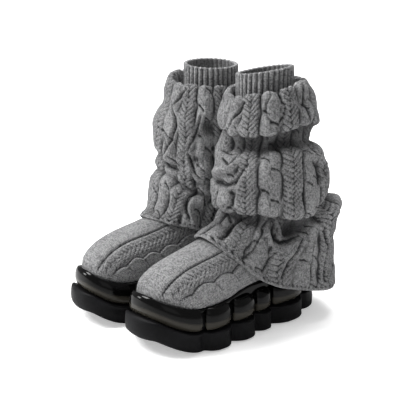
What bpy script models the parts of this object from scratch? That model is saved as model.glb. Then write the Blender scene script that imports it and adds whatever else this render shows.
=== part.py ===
"""A pair of cable-knit loose socks, slouched round the ankles of a pair of lobed platform soles.

Each sock is a ribbed cuff, a slouched leg tube that stands in thick folds, and a foot that covers a shoe.
The shoe's sole is a black lobed outsole with a row of glossy pods on it and a rand round the knit.

Tables hold millimetres and degrees. Every shoe is worked out about its own ankle: x points to the pair's
+X side, y to the heel and z up. The sole is drawn with x to the outer side of the foot and then mirrored.
An angle round the leg is measured from the toe towards +X.
"""
import math
from collections import namedtuple

import bpy
from mathutils import Vector
from mathutils.bvhtree import BVHTree

MM = 0.001
SEAM_GAP = 0.3

# Placing the two shoes: between their ankles, how far each toe turns out in degrees, and how far the right
# shoe stands ahead of its leg
ANKLE_SPACING = 109.4
LEFT_TOE_OUT = 3.6
RIGHT_TOE_OUT = 7.0
RIGHT_SHOE_AHEAD = 5.0

# Height of one knit repeat above the ground cloth: a domed cable, a gutter, a two-strand plait, a gutter
KNIT_REPEAT = (2.3, 1.9, 0.0, 1.8, 1.1, 1.8, 0.0, 1.9)
CROSSING_PITCH = 40.0
CROSSING_DIP = 1.0

# The leg tube: its place, wall, knit columns and the room between its skirt and the foot
ANKLE_Y = 66.0
WALL = 2.5
LEG_REPEATS = 8
LEG_COLUMNS = LEG_REPEATS * len(KNIT_REPEAT)
LEG_ROW_PITCH = 9.0
CABLE_TURN = 49.5
SEAM_RADIUS = 38.0
CLEARANCES = {1: 2.9, -1: 1.9}
SKIRT_TOP = 150.0
PUSH_ROUNDS = 4

# Where the two legs press against each other: the space left at the middle and how softly they flatten
MIDDLE_GAP = 3.1
PRESS_SOFTNESS = 9.0

# The ribbed cuff
RIB_COUNT = 32
RIB_RADIUS = 36.6
RIB_DEPTH = 1.5
RIB_WALL = 2.4
RIB_EDGE = 0.7
RIB_FOOT_Z = 300.0
RIB_ROWS = (0.0, 0.5, 0.93, 1.0)
LEG_TOP_Z = RIB_FOOT_Z - SEAM_GAP

# The foot
FOOT_REPEATS = 5
FOOT_COLUMNS = FOOT_REPEATS * len(KNIT_REPEAT)
FOOT_ROW_PITCH = 12.0
FOOT_ROWS = (0.0, 0.05, 0.12, 0.21, 0.32, 0.45, 0.6, 0.76, 0.9, 1.0)
FOOT_WALL = 3.0
COLLAR_RADIUS = 34.0
COLLAR_Z = 150.0
COLLAR_START = 0.7
BEND_YS = (-60.0, 40.0)
BEND_IN = (0.6, 0.93)
BEND_BACK = 0.22
DOME_FULLNESS = 2.4
PLAN_STEPS = 6
NORMAL_REACH = 9.0

# The sole
OUTSOLE_TOP = 27.0
POD_TOP = 56.0
CORE_TOP = 50.0
CORE_OUT = 2.0
RAND_OUT = 2.0
RAND_WALL = 6.0
TOE_SPRING = 16.0
SPRING_START = -90.0
SPRING_RUN = 48.0
SPRING_LIMIT = 1.1
STACK_GAP = 0.4
POD_BACK_GAP = 0.8
FOOT_SEAT_GAP = 1.1
POD_GAP = 2.2
POD_ROOT = 6.0
POD_CORNER = 0.08
RAND_ROUND = 1.5
SHARP_ANGLE = 50.0

# Which way the leg's cloth faces at its seam to the cuff and at the bottom of the pocket below it
SEAM_FACING = {0: Vector((1.0, 0.0)), 1: Vector((0.0, 1.0))}

# Turns at which the fold tables are written, from the toe towards +X
FOLD_TURNS = (-45.0, 0.0, 45.0, 90.0, 135.0, 225.0)
SEAM_HEIGHTS = (LEG_TOP_Z,) * len(FOLD_TURNS)
SEAM_RADII = (SEAM_RADIUS,) * len(FOLD_TURNS)

# One station down the leg: rows to the next one, then height and radius at each of the turns above
Station = namedtuple("Station", "name rows heights radii")

LEFT_LEG = (
    Station("seam", 1, SEAM_HEIGHTS, SEAM_RADII),
    Station("pocket", 2, (294, 293, 294, 295, 295, 294), (39.5, 41, 43, 43, 42, 39.5)),
    Station("collar", 2, (309, 304, 312, 320, 323, 312), (46, 53, 57, 57, 52, 45)),
    Station("upper", 2, (290, 289, 292, 300, 302, 298), (54, 60, 64, 66, 62, 60)),
    Station("lip A", 1, (262, 263, 264, 273, 268, 268), (59, 67, 69, 71, 72, 69)),
    Station("under A", 1, (258, 261, 262, 270, 263, 264), (55, 59, 59, 61, 64, 60)),
    Station("recess A", 2, (240, 240, 240, 246, 242, 242), (57, 54, 54, 55, 58, 57)),
    Station("crest B", 2, (220, 229, 234, 238, 226, 228), (65, 69, 71, 75, 79, 73)),
    Station("panel B", 2, (204, 208, 210, 212, 205, 205), (67, 75, 77, 81, 86, 78)),
    Station("lip B", 1, (166, 161, 160, 155, 177, 164), (66, 76, 77, 81, 85, 79)),
    Station("under B", 1, (163, 161, 160, 155, 170, 163), (57, 65, 66, 70, 79, 69)),
    Station("recess B", 1, (147, 148, 142, 136, 165, 148), (55, 62, 62, 66, 92, 69)),
    Station("crest C", 3, (136, 140, 126, 124, 158, 136), (59, 76, 70, 75, 105, 84)),
    Station("skirt", 3, (116, 132, 96, 88, 112, 94), (68, 94, 75, 79, 97, 88)),
    Station("hem", 0, (100, 123, 71, 50, 40, 56), (84, 110, 81, 80, 102, 92)),
)

RIGHT_LEG = (
    Station("seam", 1, SEAM_HEIGHTS, SEAM_RADII),
    Station("pocket", 2, (295, 294, 294, 294, 295, 295), (43, 42, 41, 40, 40, 42)),
    Station("collar", 2, (320, 310, 309, 309, 313, 320), (55, 55, 52, 47, 48, 55)),
    Station("upper", 2, (292, 286, 286, 290, 294, 294), (65, 63, 63, 62, 63, 65)),
    Station("belly", 2, (246, 250, 246, 250, 252, 246), (81, 71, 65, 68, 74, 79)),
    Station("lip A", 1, (214, 208, 184, 182, 198, 212), (79, 74, 71, 74, 78, 80)),
    Station("under A", 1, (211, 205, 181, 179, 195, 209), (71, 66, 63, 66, 70, 72)),
    Station("roll", 1, (192, 193, 169, 166, 180, 192), (80, 75, 71, 74, 80, 81)),
    Station("tuck", 1, (181, 184, 161, 158, 170, 180), (74, 69, 64, 68, 74, 74)),
    Station("crest C", 2, (168, 174, 152, 148, 158, 168), (87, 79, 71, 76, 87, 88)),
    Station("skirt", 3, (136, 144, 132, 110, 108, 122), (88, 88, 76, 82, 91, 91)),
    Station("hem", 0, (102, 120, 113, 72, 48, 44), (95, 104, 77, 82, 93, 96)),
)

# Height of the cuff's rim: middle, tilt, and the turn towards which it is highest
Rim = namedtuple("Rim", "height tilt turn")
LEFT_RIM = Rim(336.0, 5.5, 130.0)
RIGHT_RIM = Rim(335.5, 3.5, 250.0)

# Plan of the knit's lower edge: outer and inner half widths at a distance behind the ankle
Plan = namedtuple("Plan", "y outer inner")
FOOT_PLAN = (
    Plan(-136.0, 0.0, -16.0),
    Plan(-132.0, 14.0, -31.0),
    Plan(-122.0, 27.0, -41.0),
    Plan(-106.0, 38.0, -47.0),
    Plan(-80.0, 46.0, -49.0),
    Plan(-45.0, 47.0, -47.5),
    Plan(0.0, 44.5, -43.5),
    Plan(50.0, 42.0, -40.5),
    Plan(95.0, 39.5, -36.0),
    Plan(122.0, 32.0, -28.0),
    Plan(134.0, 18.0, -16.0),
    Plan(137.5, 4.0, -4.0),
)

# Side view of the foot: height of its lower edge and of its ridge
Side = namedtuple("Side", "y edge ridge")
FOOT_SIDE = (
    Side(-136.0, 55.0, 68.0),
    Side(-130.0, 55.0, 86.0),
    Side(-118.0, 55.0, 97.0),
    Side(-96.0, 55.0, 107.0),
    Side(-70.0, 55.5, 114.0),
    Side(-45.0, 58.0, 120.0),
    Side(-20.0, 63.5, 126.0),
    Side(10.0, 66.0, 134.0),
    Side(40.0, 67.0, 150.0),
    Side(90.0, 68.0, 150.0),
    Side(120.0, 68.0, 120.0),
    Side(134.0, 68.0, 94.0),
    Side(137.5, 68.0, 74.0),
)

# Lobes round the sole, from one notch to the next, by the notches' y on the outer or the inner side
Lobe = namedtuple("Lobe", "name start end reach pod_reach")
OUTER_LOBES = (
    Lobe("pod_outer_1", -88.0, -46.0, 15.0, 11.0),
    Lobe("pod_outer_2", -46.0, -1.0, 17.0, 13.0),
    Lobe("pod_outer_3", -1.0, 37.0, 15.0, 11.0),
    Lobe("pod_outer_4", 37.0, 98.0, 20.0, 15.0),
)
INNER_LOBES = (
    Lobe("pod_inner_1", -88.0, -46.0, 13.0, 9.5),
    Lobe("pod_inner_2", -46.0, -1.0, 15.0, 11.0),
    Lobe("pod_inner_3", -1.0, 37.0, 15.0, 11.0),
    Lobe("pod_inner_4", 37.0, 98.0, 12.5, 9.5),
)
TOE_LOBE = Lobe("toe_pod", -88.0, -88.0, 17.0, 8.0)
HEEL_LOBE = Lobe("heel_pod", 98.0, 98.0, 14.0, 10.0)
NOTCH_REACH = 5.0
LOBE_FULLNESS = 0.6
SIDE_LOBE_STEPS = 7
LOBE_STEPS = {"toe_pod": 22, "heel_pod": 16}
SIDE_POD_STEPS = 5
POD_STEPS = {"toe_pod": 16, "heel_pod": 12}

# Side profile of an outsole lobe and of a pod: share of the height, and how far the side stands in
OUTSOLE_SIDE = ((0.0, 4.0), (0.14, 0.8), (0.5, 0.0), (0.86, 1.5), (1.0, 5.0))
POD_SIDE = ((0.0, 2.5), (0.2, 0.4), (0.75, 0.4), (1.0, 3.5))

# Finishes: colour, roughness and metallic value
Finish = namedtuple("Finish", "colour roughness metallic")
KNIT = Finish((0.19, 0.19, 0.195), 0.95, 0.0)
RUBBER = Finish((0.012, 0.012, 0.013), 0.55, 0.0)
GLOSS = Finish((0.02, 0.017, 0.016), 0.08, 0.0)


def clear_scene():
    """Remove whatever the file starts with."""
    for thing in list(bpy.data.objects):
        bpy.data.objects.remove(thing)


def make_material(name, finish):
    """Return a Principled material of one finish."""
    material = bpy.data.materials.new(name)
    material.use_nodes = True
    shader = material.node_tree.nodes["Principled BSDF"]
    shader.inputs["Base Color"].default_value = (*finish.colour, 1.0)
    shader.inputs["Roughness"].default_value = finish.roughness
    shader.inputs["Metallic"].default_value = finish.metallic
    return material


def hermite(a, b, slope_a, slope_b, run, t):
    """Cubic from a to b over a run, with the slopes at its ends."""
    t2, t3 = t * t, t * t * t
    return ((2 * t3 - 3 * t2 + 1) * a + (t3 - 2 * t2 + t) * run * slope_a
            + (3 * t2 - 2 * t3) * b + (t3 - t2) * run * slope_b)


def slope(x0, y0, x1, y1, x2, y2):
    """Slope of a smooth curve at the middle one of three points, flat at a peak."""
    left = (y1 - y0) / (x1 - x0)
    right = (y2 - y1) / (x2 - x1)
    if left * right <= 0:
        return 0.0
    return 2 * left * right / (left + right)


def along(xs, ys, x):
    """Smooth value at x of a curve through points in rising order, without overshoot."""
    if x <= xs[0]:
        return ys[0]
    if x >= xs[-1]:
        return ys[-1]
    i = max(k for k in range(len(xs) - 1) if xs[k] <= x)
    steps = [(ys[k + 1] - ys[k]) / (xs[k + 1] - xs[k]) for k in range(len(xs) - 1)]
    inner = lambda k: slope(xs[k - 1], ys[k - 1], xs[k], ys[k], xs[k + 1], ys[k + 1])
    slope_a = inner(i) if i > 0 else steps[0]
    slope_b = inner(i + 1) if i + 1 < len(xs) - 1 else steps[-1]
    run = xs[i + 1] - xs[i]
    return hermite(ys[i], ys[i + 1], slope_a, slope_b, run, (x - xs[i]) / run)


def around(values, turn):
    """Smooth value of a fold table's row at any turn round the leg."""
    turns = FOLD_TURNS
    count = len(turns)
    wrapped = (turn - turns[0]) % 360.0 + turns[0]
    i = max(k for k in range(count) if turns[k] <= wrapped)
    key = lambda k: turns[k % count] + 360.0 * (k // count)
    value = lambda k: values[k % count]
    tangent = lambda k: (value(k + 1) - value(k - 1)) / (key(k + 1) - key(k - 1))
    run = key(i + 1) - key(i)
    return hermite(value(i), value(i + 1), tangent(i), tangent(i + 1), run, (wrapped - key(i)) / run)


def spline_point(points, i, t):
    """Point between points i and i + 1 of a smooth curve whose speed follows the points' spacing."""
    last = len(points) - 1
    p1, p2 = points[i], points[i + 1]
    p0 = points[i - 1] if i > 0 else p1 * 2 - p2
    p3 = points[i + 2] if i + 2 <= last else p2 * 2 - p1
    gaps = [max((b - a).length, 1e-6) ** 0.5 for a, b in ((p0, p1), (p1, p2), (p2, p3))]
    t0, t1 = 0.0, gaps[0]
    t2 = t1 + gaps[1]
    t3 = t2 + gaps[2]
    at = t1 + (t2 - t1) * t
    a1 = p0 * ((t1 - at) / (t1 - t0)) + p1 * ((at - t0) / (t1 - t0))
    a2 = p1 * ((t2 - at) / (t2 - t1)) + p2 * ((at - t1) / (t2 - t1))
    a3 = p2 * ((t3 - at) / (t3 - t2)) + p3 * ((at - t2) / (t3 - t2))
    b1 = a1 * ((t2 - at) / (t2 - t0)) + a2 * ((at - t0) / (t2 - t0))
    b2 = a2 * ((t3 - at) / (t3 - t1)) + a3 * ((at - t1) / (t3 - t1))
    return b1 * ((t2 - at) / (t2 - t1)) + b2 * ((at - t1) / (t2 - t1))


def pressed(radius, turn, side):
    """Radius of the leg where it is flattened against the other leg."""
    angle = math.radians(turn)
    inward = -side * radius * math.sin(angle)
    behind = -radius * math.cos(angle)
    toe_out = math.radians(LEFT_TOE_OUT if side > 0 else RIGHT_TOE_OUT)
    limit = (ANKLE_SPACING / 2 - MIDDLE_GAP) / math.cos(toe_out) - behind * math.tan(toe_out)
    excess = inward - (limit - PRESS_SOFTNESS)
    if excess <= 0:
        return radius
    flat = limit - PRESS_SOFTNESS * math.exp(-excess / PRESS_SOFTNESS)
    return radius * flat / inward


def leg_profile(stations, turn, side):
    """Points (radius, height) down the leg at one turn."""
    keys = [Vector((pressed(around(s.radii, turn), turn, side), around(s.heights, turn))) for s in stations]
    profile = []
    for i, station in enumerate(stations[:-1]):
        for row in range(station.rows):
            profile.append(spline_point(keys, i, row / station.rows))
    profile.append(keys[-1])
    return profile


def profile_normal(profile, row):
    """Outward direction, away from the leg's inside, at one row of a profile."""
    before = profile[max(row - 1, 0)]
    after = profile[min(row + 1, len(profile) - 1)]
    step = (after - before).normalized()
    return Vector((-step.y, step.x))


def on_leg(point, turn):
    """Place a (radius, height) point round the ankle."""
    angle = math.radians(turn)
    return Vector((point.x * math.sin(angle), ANKLE_Y - point.x * math.cos(angle), point.y))


def knit_height(column, run):
    """Relief of the knit on one column, where the domed cable rises and falls at its crossings."""
    place = column % len(KNIT_REPEAT)
    height = KNIT_REPEAT[place]
    if place == 0:
        height -= CROSSING_DIP * (1 - math.cos(2 * math.pi * run / CROSSING_PITCH)) / 2
    return height


def leg_walls(stations, side, skin):
    """Outer and inner rings of a leg, its skirt pushed clear of the skin of the foot."""
    outer, inner = [], []
    turns = [CABLE_TURN + 360.0 * c / LEG_COLUMNS for c in range(LEG_COLUMNS)]
    profiles = [leg_profile(stations, turn, side) for turn in turns]
    rows = len(profiles[0])
    for row in range(rows):
        outs = [SEAM_FACING.get(row) or profile_normal(profile, row) for profile in profiles]
        insides = [on_leg(p[row] - out * WALL, turn) for p, out, turn in zip(profiles, outs, turns)]
        shifts = spread([push_clear(inside, skin, CLEARANCES[side]) for inside in insides])
        outer_ring = []
        for column, (turn, profile, out) in enumerate(zip(turns, profiles, outs)):
            relief = 0.0 if row in (0, rows - 1) else knit_height(column, row * LEG_ROW_PITCH)
            outer_ring.append(on_leg(profile[row] + out * relief, turn) + shifts[column])
        inner_ring = [inside + shift for inside, shift in zip(insides, shifts)][::2]
        outer.append(outer_ring)
        inner.append(inner_ring)
    return outer, inner


def spread(shifts):
    """Give every column the longest of its own and its neighbours' moves."""
    count = len(shifts)
    near = lambda column: [shifts[column - 1], shifts[column], shifts[(column + 1) % count]]
    return [max(near(column), key=lambda shift: shift.length) for column in range(count)]


def push_clear(point, skin, clearance):
    """How far a point of the skirt has to move to stand clear of the foot that it hangs over."""
    total = Vector((0.0, 0.0, 0.0))
    if point.z > SKIRT_TOP:
        return total
    for _ in range(PUSH_ROUNDS):
        place = point + total
        near, normal, _, _ = skin.find_nearest(place)
        stand_off = (place - near).dot(normal)
        if stand_off >= clearance:
            break
        total += normal * (clearance - stand_off)
    return total


def shell_mesh(outer, inner):
    """Close a wall between outer rings and inner rings with a whole share of their points."""
    share = len(outer[0]) // len(inner[0])
    points = [p for ring in outer + inner for p in ring]
    outer_start = lambda row: row * len(outer[0])
    inner_start = lambda row: len(outer) * len(outer[0]) + row * len(inner[0])
    faces = []
    faces += strips(outer_start, len(outer), len(outer[0]), False)
    faces += strips(inner_start, len(inner), len(inner[0]), True)
    faces += rim(outer_start(0), len(outer[0]), inner_start(0), len(inner[0]), share, True)
    faces += rim(outer_start(len(outer) - 1), len(outer[0]), inner_start(len(inner) - 1), len(inner[0]),
                 share, False)
    return points, faces


def strips(start, rows, count, flip):
    """Quads between rings that run down the piece, facing out or, flipped, facing in."""
    faces = []
    for row in range(rows - 1):
        for i in range(count):
            j = (i + 1) % count
            face = (start(row) + i, start(row + 1) + i, start(row + 1) + j, start(row) + j)
            faces.append(face[::-1] if flip else face)
    return faces


def rim(outer, outer_count, inner, inner_count, share, top):
    """Edge of a wall: triangles and quads from an outer ring to an inner one with fewer points."""
    faces = []
    for k in range(inner_count):
        a, b = inner + k, inner + (k + 1) % inner_count
        chain = [outer + (k * share + s) % outer_count for s in range(share + 1)]
        half = share // 2
        fan = [(chain[s], chain[s + 1], a) for s in range(half)]
        fan += [(chain[s], chain[s + 1], b) for s in range(half, share)]
        fan.append((chain[half], b, a))
        faces += fan if top else [face[::-1] for face in fan]
    return faces


def cuff_walls(rim_shape, seam_z):
    """Outer and inner rings of the ribbed cuff, from its rim to its seam."""
    outer, inner = [], []
    count = RIB_COUNT * 2
    for share in reversed(RIB_ROWS):
        outer_ring, inner_ring = [], []
        for i in range(count):
            turn = 360.0 * i / count
            top = rim_shape.height + rim_shape.tilt * math.cos(math.radians(turn - rim_shape.turn))
            height = seam_z + (top - seam_z) * share
            ridge = RIB_DEPTH if i % 2 == 0 else 0.0
            edge = RIB_EDGE if share == 1.0 else 0.0
            outer_ring.append(on_leg(Vector((RIB_RADIUS + ridge - edge, height)), turn))
            if i % 2 == 0:
                inner_ring.append(on_leg(Vector((RIB_RADIUS - RIB_WALL + edge, height)), turn))
        outer.append(outer_ring)
        inner.append(inner_ring)
    return outer, inner


def spring(y):
    """How far the toe of the sole turns up from the floor."""
    rise = min(max((SPRING_START - y) / SPRING_RUN, 0.0), SPRING_LIMIT)
    return TOE_SPRING * rise * rise


class Outline:
    """Smooth closed plan of the knit's lower edge, which every ring of the shoe is measured from.

    It starts at the heel and runs along the outer side to the toe and back along the inner side.
    """

    def __init__(self):
        outer = [Vector((row.outer, row.y)) for row in reversed(FOOT_PLAN)]
        inner = [Vector((row.inner, row.y)) for row in FOOT_PLAN]
        corners = outer + inner
        self.points = []
        for i in range(len(corners)):
            four = [corners[(i + k - 1) % len(corners)] for k in range(4)]
            self.points += [spline_point(four, 1, step / PLAN_STEPS) for step in range(PLAN_STEPS)]
        self.runs = [0.0]
        for a, b in zip(self.points, self.points[1:] + self.points[:1]):
            self.runs.append(self.runs[-1] + (b - a).length)
        self.total = self.runs[-1]

    def spot(self, run):
        """Point on the outline."""
        run %= self.total
        i = max(k for k in range(len(self.points)) if self.runs[k] <= run)
        a, b = self.points[i], self.points[(i + 1) % len(self.points)]
        return a.lerp(b, (run - self.runs[i]) / (self.runs[i + 1] - self.runs[i]))

    def normal(self, run):
        """Outward direction, taken over a short stretch so that offsets stay smooth."""
        step = (self.spot(run + NORMAL_REACH) - self.spot(run - NORMAL_REACH)).normalized()
        return Vector((-step.y, step.x))

    def at(self, run, out=0.0):
        """Point moved out from the outline."""
        return self.spot(run) + self.normal(run) * out

    def sides(self, y):
        """Widest x on the outer and on the inner side at a given y."""
        crossings = [0.0]
        for a, b in zip(self.points, self.points[1:] + self.points[:1]):
            if min(a.y, b.y) <= y <= max(a.y, b.y) and a.y != b.y:
                crossings.append(a.x + (b.x - a.x) * (y - a.y) / (b.y - a.y))
        return max(crossings), min(crossings)

    def run_at(self, y, outer):
        """Run at which the outer or the inner side passes a given y."""
        side = [i for i, point in enumerate(self.points) if (point.x > 0) == outer]
        return self.runs[min(side, key=lambda i: abs(self.points[i].y - y))]


def lobe_spans(outline):
    """Each lobe with the runs of its two notches, in order from the heel round the outer side."""
    spans = []
    heel_outer = outline.run_at(HEEL_LOBE.start, True)
    heel_inner = outline.run_at(HEEL_LOBE.end, False)
    spans.append((HEEL_LOBE, heel_inner - outline.total, heel_outer))
    for lobe in reversed(OUTER_LOBES):
        spans.append((lobe, outline.run_at(lobe.end, True), outline.run_at(lobe.start, True)))
    spans.append((TOE_LOBE, outline.run_at(TOE_LOBE.start, True), outline.run_at(TOE_LOBE.end, False)))
    for lobe in INNER_LOBES:
        spans.append((lobe, outline.run_at(lobe.start, False), outline.run_at(lobe.end, False)))
    return spans


def swell(share):
    """Round plan of a lobe between its notches, from 0 to 1."""
    return math.sin(math.pi * share) ** LOBE_FULLNESS


def sole_samples(outline):
    """Samples (run, lobe, share) round the sole, as many on the outer as on the inner side."""
    samples = []
    spans = lobe_spans(outline)
    for lobe, start, end in spans:
        steps = LOBE_STEPS.get(lobe.name, SIDE_LOBE_STEPS)
        samples += [(start + (end - start) * k / steps, lobe, k / steps) for k in range(steps)]
    half_heel = LOBE_STEPS[HEEL_LOBE.name] // 2
    return samples[half_heel:] + samples[:half_heel]


def slab_mesh(rings):
    """Closed block from plan rings that run up, its ends closed by ladders across."""
    count = len(rings[0])
    points = [p for ring in rings for p in ring]
    start = lambda row: row * count
    faces = strips(start, len(rings), count, False)
    top = start(len(rings) - 1)
    for k in range(count // 2):
        a, b = k, (k + 1) % count
        c, d = (count - k - 1) % count, (count - k) % count
        rung = [a, b, c, d]
        rung = [v for i, v in enumerate(rung) if v not in rung[:i]]
        if len(rung) > 2:
            faces.append(tuple(rung))
            faces.append(tuple(top + v for v in reversed(rung)))
    return points, faces


def raised(plan, z):
    """Lift a plan point to a height above the curve of the toe."""
    return Vector((plan.x, plan.y, z + spring(plan.y)))


def outsole_mesh(outline):
    """The lobed rubber outsole, flat under the foot and turned up at the toe."""
    rings = []
    for share, inset in OUTSOLE_SIDE:
        ring = []
        for run, lobe, place in sole_samples(outline):
            reach = NOTCH_REACH + (lobe.reach - NOTCH_REACH) * swell(place)
            ring.append(raised(outline.at(run, reach - inset), OUTSOLE_TOP * share))
        rings.append(ring)
    return slab_mesh(rings)


def core_mesh(outline):
    """The black block inside the ring of pods."""
    samples = sole_samples(outline)[::2]
    rings = []
    for z in (OUTSOLE_TOP + STACK_GAP, CORE_TOP):
        rings.append([raised(outline.at(run, CORE_OUT), z) for run, _, _ in samples])
    return slab_mesh(rings)


def pod_mesh(outline, lobe, start, end):
    """One glossy pod: a rounded block between two notches, against the core."""
    steps = POD_STEPS.get(lobe.name, SIDE_POD_STEPS)
    low, high = start + POD_GAP, end - POD_GAP
    rings = []
    for share, inset in POD_SIDE:
        z = OUTSOLE_TOP + STACK_GAP + (POD_TOP - OUTSOLE_TOP - STACK_GAP) * share
        face, back = [], []
        for k in range(steps + 1):
            place = k / steps
            run = low + inset + (high - low - 2 * inset) * place
            reach = POD_ROOT + (lobe.pod_reach - POD_ROOT) * swell(POD_CORNER + (1 - 2 * POD_CORNER) * place)
            face.append(raised(outline.at(run, reach - inset), z))
            back.append(raised(outline.at(run, CORE_OUT + POD_BACK_GAP), z))
        rings.append(face + back[::-1])
    return slab_mesh(rings)


def rand_mesh(outline, foot):
    """The rim of the sole that stands round the knit's lower edge."""
    samples = sole_samples(outline)[::-2]
    low = CORE_TOP + STACK_GAP
    outer = [[], [], []]
    inner = [[], []]
    for run, _, _ in samples:
        edge = foot.edge(outline.spot(run).y)
        outer[0].append(raised(outline.at(run, RAND_OUT - RAND_ROUND), edge))
        outer[1].append(raised(outline.at(run, RAND_OUT), edge - RAND_ROUND))
        outer[2].append(raised(outline.at(run, RAND_OUT), low))
        inner[0].append(raised(outline.at(run, RAND_OUT - RAND_WALL), edge))
        inner[1].append(raised(outline.at(run, RAND_OUT - RAND_WALL), low))
    return shell_mesh(outer, inner)


class Foot:
    """The knit that covers the foot, from the rand up to a round hole at the ankle."""

    def __init__(self, outline):
        self.outline = outline
        self.ys = [row.y for row in FOOT_SIDE]

    def edge(self, y):
        """Height of the lower edge."""
        return along(self.ys, [row.edge for row in FOOT_SIDE], y)

    def dome(self, plan):
        """Height of the knit over a plan point."""
        outer, inner = self.outline.sides(plan.y)
        middle, half = (outer + inner) / 2, max((outer - inner) / 2, 1.0)
        across = min(abs(plan.x - middle) / half, 1.0)
        edge = self.edge(plan.y) + spring(plan.y)
        ridge = along(self.ys, [row.ridge for row in FOOT_SIDE], plan.y)
        return edge + (max(ridge, edge) - edge) * (1 - across ** DOME_FULLNESS) ** 0.5

    def rings(self):
        """Rings of the outer side, from the lower edge to the ankle hole."""
        rings = []
        for share in FOOT_ROWS:
            ring = []
            for column in range(FOOT_COLUMNS):
                part = 1 - column / FOOT_COLUMNS
                low = self.outline.spot(part * self.outline.total)
                angle = math.pi * (1 - 2 * part)
                high = Vector((COLLAR_RADIUS * math.sin(angle), ANKLE_Y - COLLAR_RADIUS * math.cos(angle)))
                bend_in = along(BEND_YS, BEND_IN, low.y)
                bend = Vector((low.x * bend_in, low.y + (high.y - low.y) * BEND_BACK))
                plan = low.lerp(bend, share).lerp(bend.lerp(high, share), share)
                blend = max((share - COLLAR_START) / (1 - COLLAR_START), 0.0) ** 2
                height = self.dome(plan) if share else self.edge(plan.y) + spring(plan.y) + FOOT_SEAT_GAP
                ring.append(Vector((plan.x, plan.y, height + (COLLAR_Z - height) * blend)))
            rings.append(ring)
        return rings

    def walls(self):
        """Outer rings with the knit's relief and plain inner rings."""
        rings = self.rings()
        last = len(rings) - 1
        outer, inner = [], []
        for row, ring in enumerate(rings):
            outer_ring, inner_ring = [], []
            for column, point in enumerate(ring):
                normal = grid_normal(rings, row, column)
                if row in (0, last):
                    normal = Vector((normal.x, normal.y, 0.0)).normalized()
                relief = knit_height(column, row * FOOT_ROW_PITCH) if 0 < row < last else 0.0
                outer_ring.append(point + normal * relief)
                if column % 2 == 0:
                    inner_ring.append(point - normal * FOOT_WALL)
            outer.append(outer_ring)
            inner.append(inner_ring)
        return outer[::-1], inner[::-1]


def grid_normal(rings, row, column):
    """Outward direction of a surface of rings that rise from the floor, seen from its neighbours."""
    count = len(rings[0])
    ring = rings[row]
    across = ring[(column + 1) % count] - ring[(column - 1) % count]
    up = rings[min(row + 1, len(rings) - 1)][column] - rings[max(row - 1, 0)][column]
    return across.cross(up).normalized()


def mirrored(mesh, side):
    """Leave the left shoe's mesh, or mirror it for the right shoe and move it ahead of its leg."""
    points, faces = mesh
    if side > 0:
        return points, faces
    moved = [Vector((-p.x, p.y - RIGHT_SHOE_AHEAD, p.z)) for p in points]
    return moved, [face[::-1] for face in faces]


def add_ankle(side, suffix):
    """Add the empty at one ankle that places a whole shoe and turns its toe out."""
    ankle = bpy.data.objects.new(f"ankle_{suffix}", None)
    ankle.location = (side * ANKLE_SPACING / 2 * MM, 0.0, 0.0)
    ankle.rotation_euler = (0.0, 0.0, math.radians(LEFT_TOE_OUT if side > 0 else -RIGHT_TOE_OUT))
    bpy.context.scene.collection.objects.link(ankle)
    return ankle


def add_piece(name, mesh, ankle, material):
    """Make a shoe's piece a Blender object that is placed by its ankle."""
    points, faces = mesh
    data = bpy.data.meshes.new(name)
    data.from_pydata([(p.x * MM, (p.y - ANKLE_Y) * MM, p.z * MM) for p in points], [], faces)
    data.materials.append(material)
    data.shade_smooth()
    data.set_sharp_from_angle(angle=math.radians(SHARP_ANGLE))
    piece = bpy.data.objects.new(name, data)
    piece.parent = ankle
    bpy.context.scene.collection.objects.link(piece)


def add_shoe(side, suffix, stations, rim_shape, materials):
    """Build one shoe with its sock."""
    ankle = add_ankle(side, suffix)
    outline = Outline()
    foot = Foot(outline)
    sole = {"outsole": outsole_mesh(outline), "sole_core": core_mesh(outline)}
    for lobe, start, end in lobe_spans(outline):
        sole[lobe.name] = pod_mesh(outline, lobe, start, end)
    sole["rand"] = rand_mesh(outline, foot)
    finishes = {"outsole": "rubber", "sole_core": "rubber"}
    for name, mesh in sole.items():
        add_piece(f"{name}_{suffix}", mirrored(mesh, side), ankle, materials[finishes.get(name, "gloss")])
    foot_outer, foot_inner = foot.walls()
    foot_mesh = mirrored(shell_mesh(foot_outer, foot_inner), side)
    add_piece(f"foot_{suffix}", foot_mesh, ankle, materials["knit"])
    skin_points = [p for ring in foot_outer for p in ring]
    skin_faces = strips(lambda row: row * FOOT_COLUMNS, len(foot_outer), FOOT_COLUMNS, False)
    skin = BVHTree.FromPolygons(*mirrored((skin_points, skin_faces), side))
    add_piece(f"leg_{suffix}", shell_mesh(*leg_walls(stations, side, skin)), ankle, materials["knit"])
    add_piece(f"cuff_{suffix}", shell_mesh(*cuff_walls(rim_shape, RIB_FOOT_Z)), ankle, materials["knit"])


def stand_at_origin():
    """Move both ankles so that the middle of the pair's box stands on the origin."""
    bpy.context.view_layer.update()
    pieces = [thing for thing in bpy.data.objects if thing.type == "MESH"]
    corners = [piece.matrix_world @ vertex.co for piece in pieces for vertex in piece.data.vertices]
    low = [min(corner[i] for corner in corners) for i in range(3)]
    high = [max(corner[i] for corner in corners) for i in range(3)]
    shift = Vector((-(low[0] + high[0]) / 2, -(low[1] + high[1]) / 2, -low[2]))
    for thing in bpy.data.objects:
        if thing.type == "EMPTY":
            thing.location += shift


def main():
    """Build the pair."""
    clear_scene()
    materials = {
        "knit": make_material("knit", KNIT),
        "rubber": make_material("rubber", RUBBER),
        "gloss": make_material("gloss", GLOSS),
    }
    add_shoe(1, "left", LEFT_LEG, LEFT_RIM, materials)
    add_shoe(-1, "right", RIGHT_LEG, RIGHT_RIM, materials)
    stand_at_origin()


main()
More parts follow.
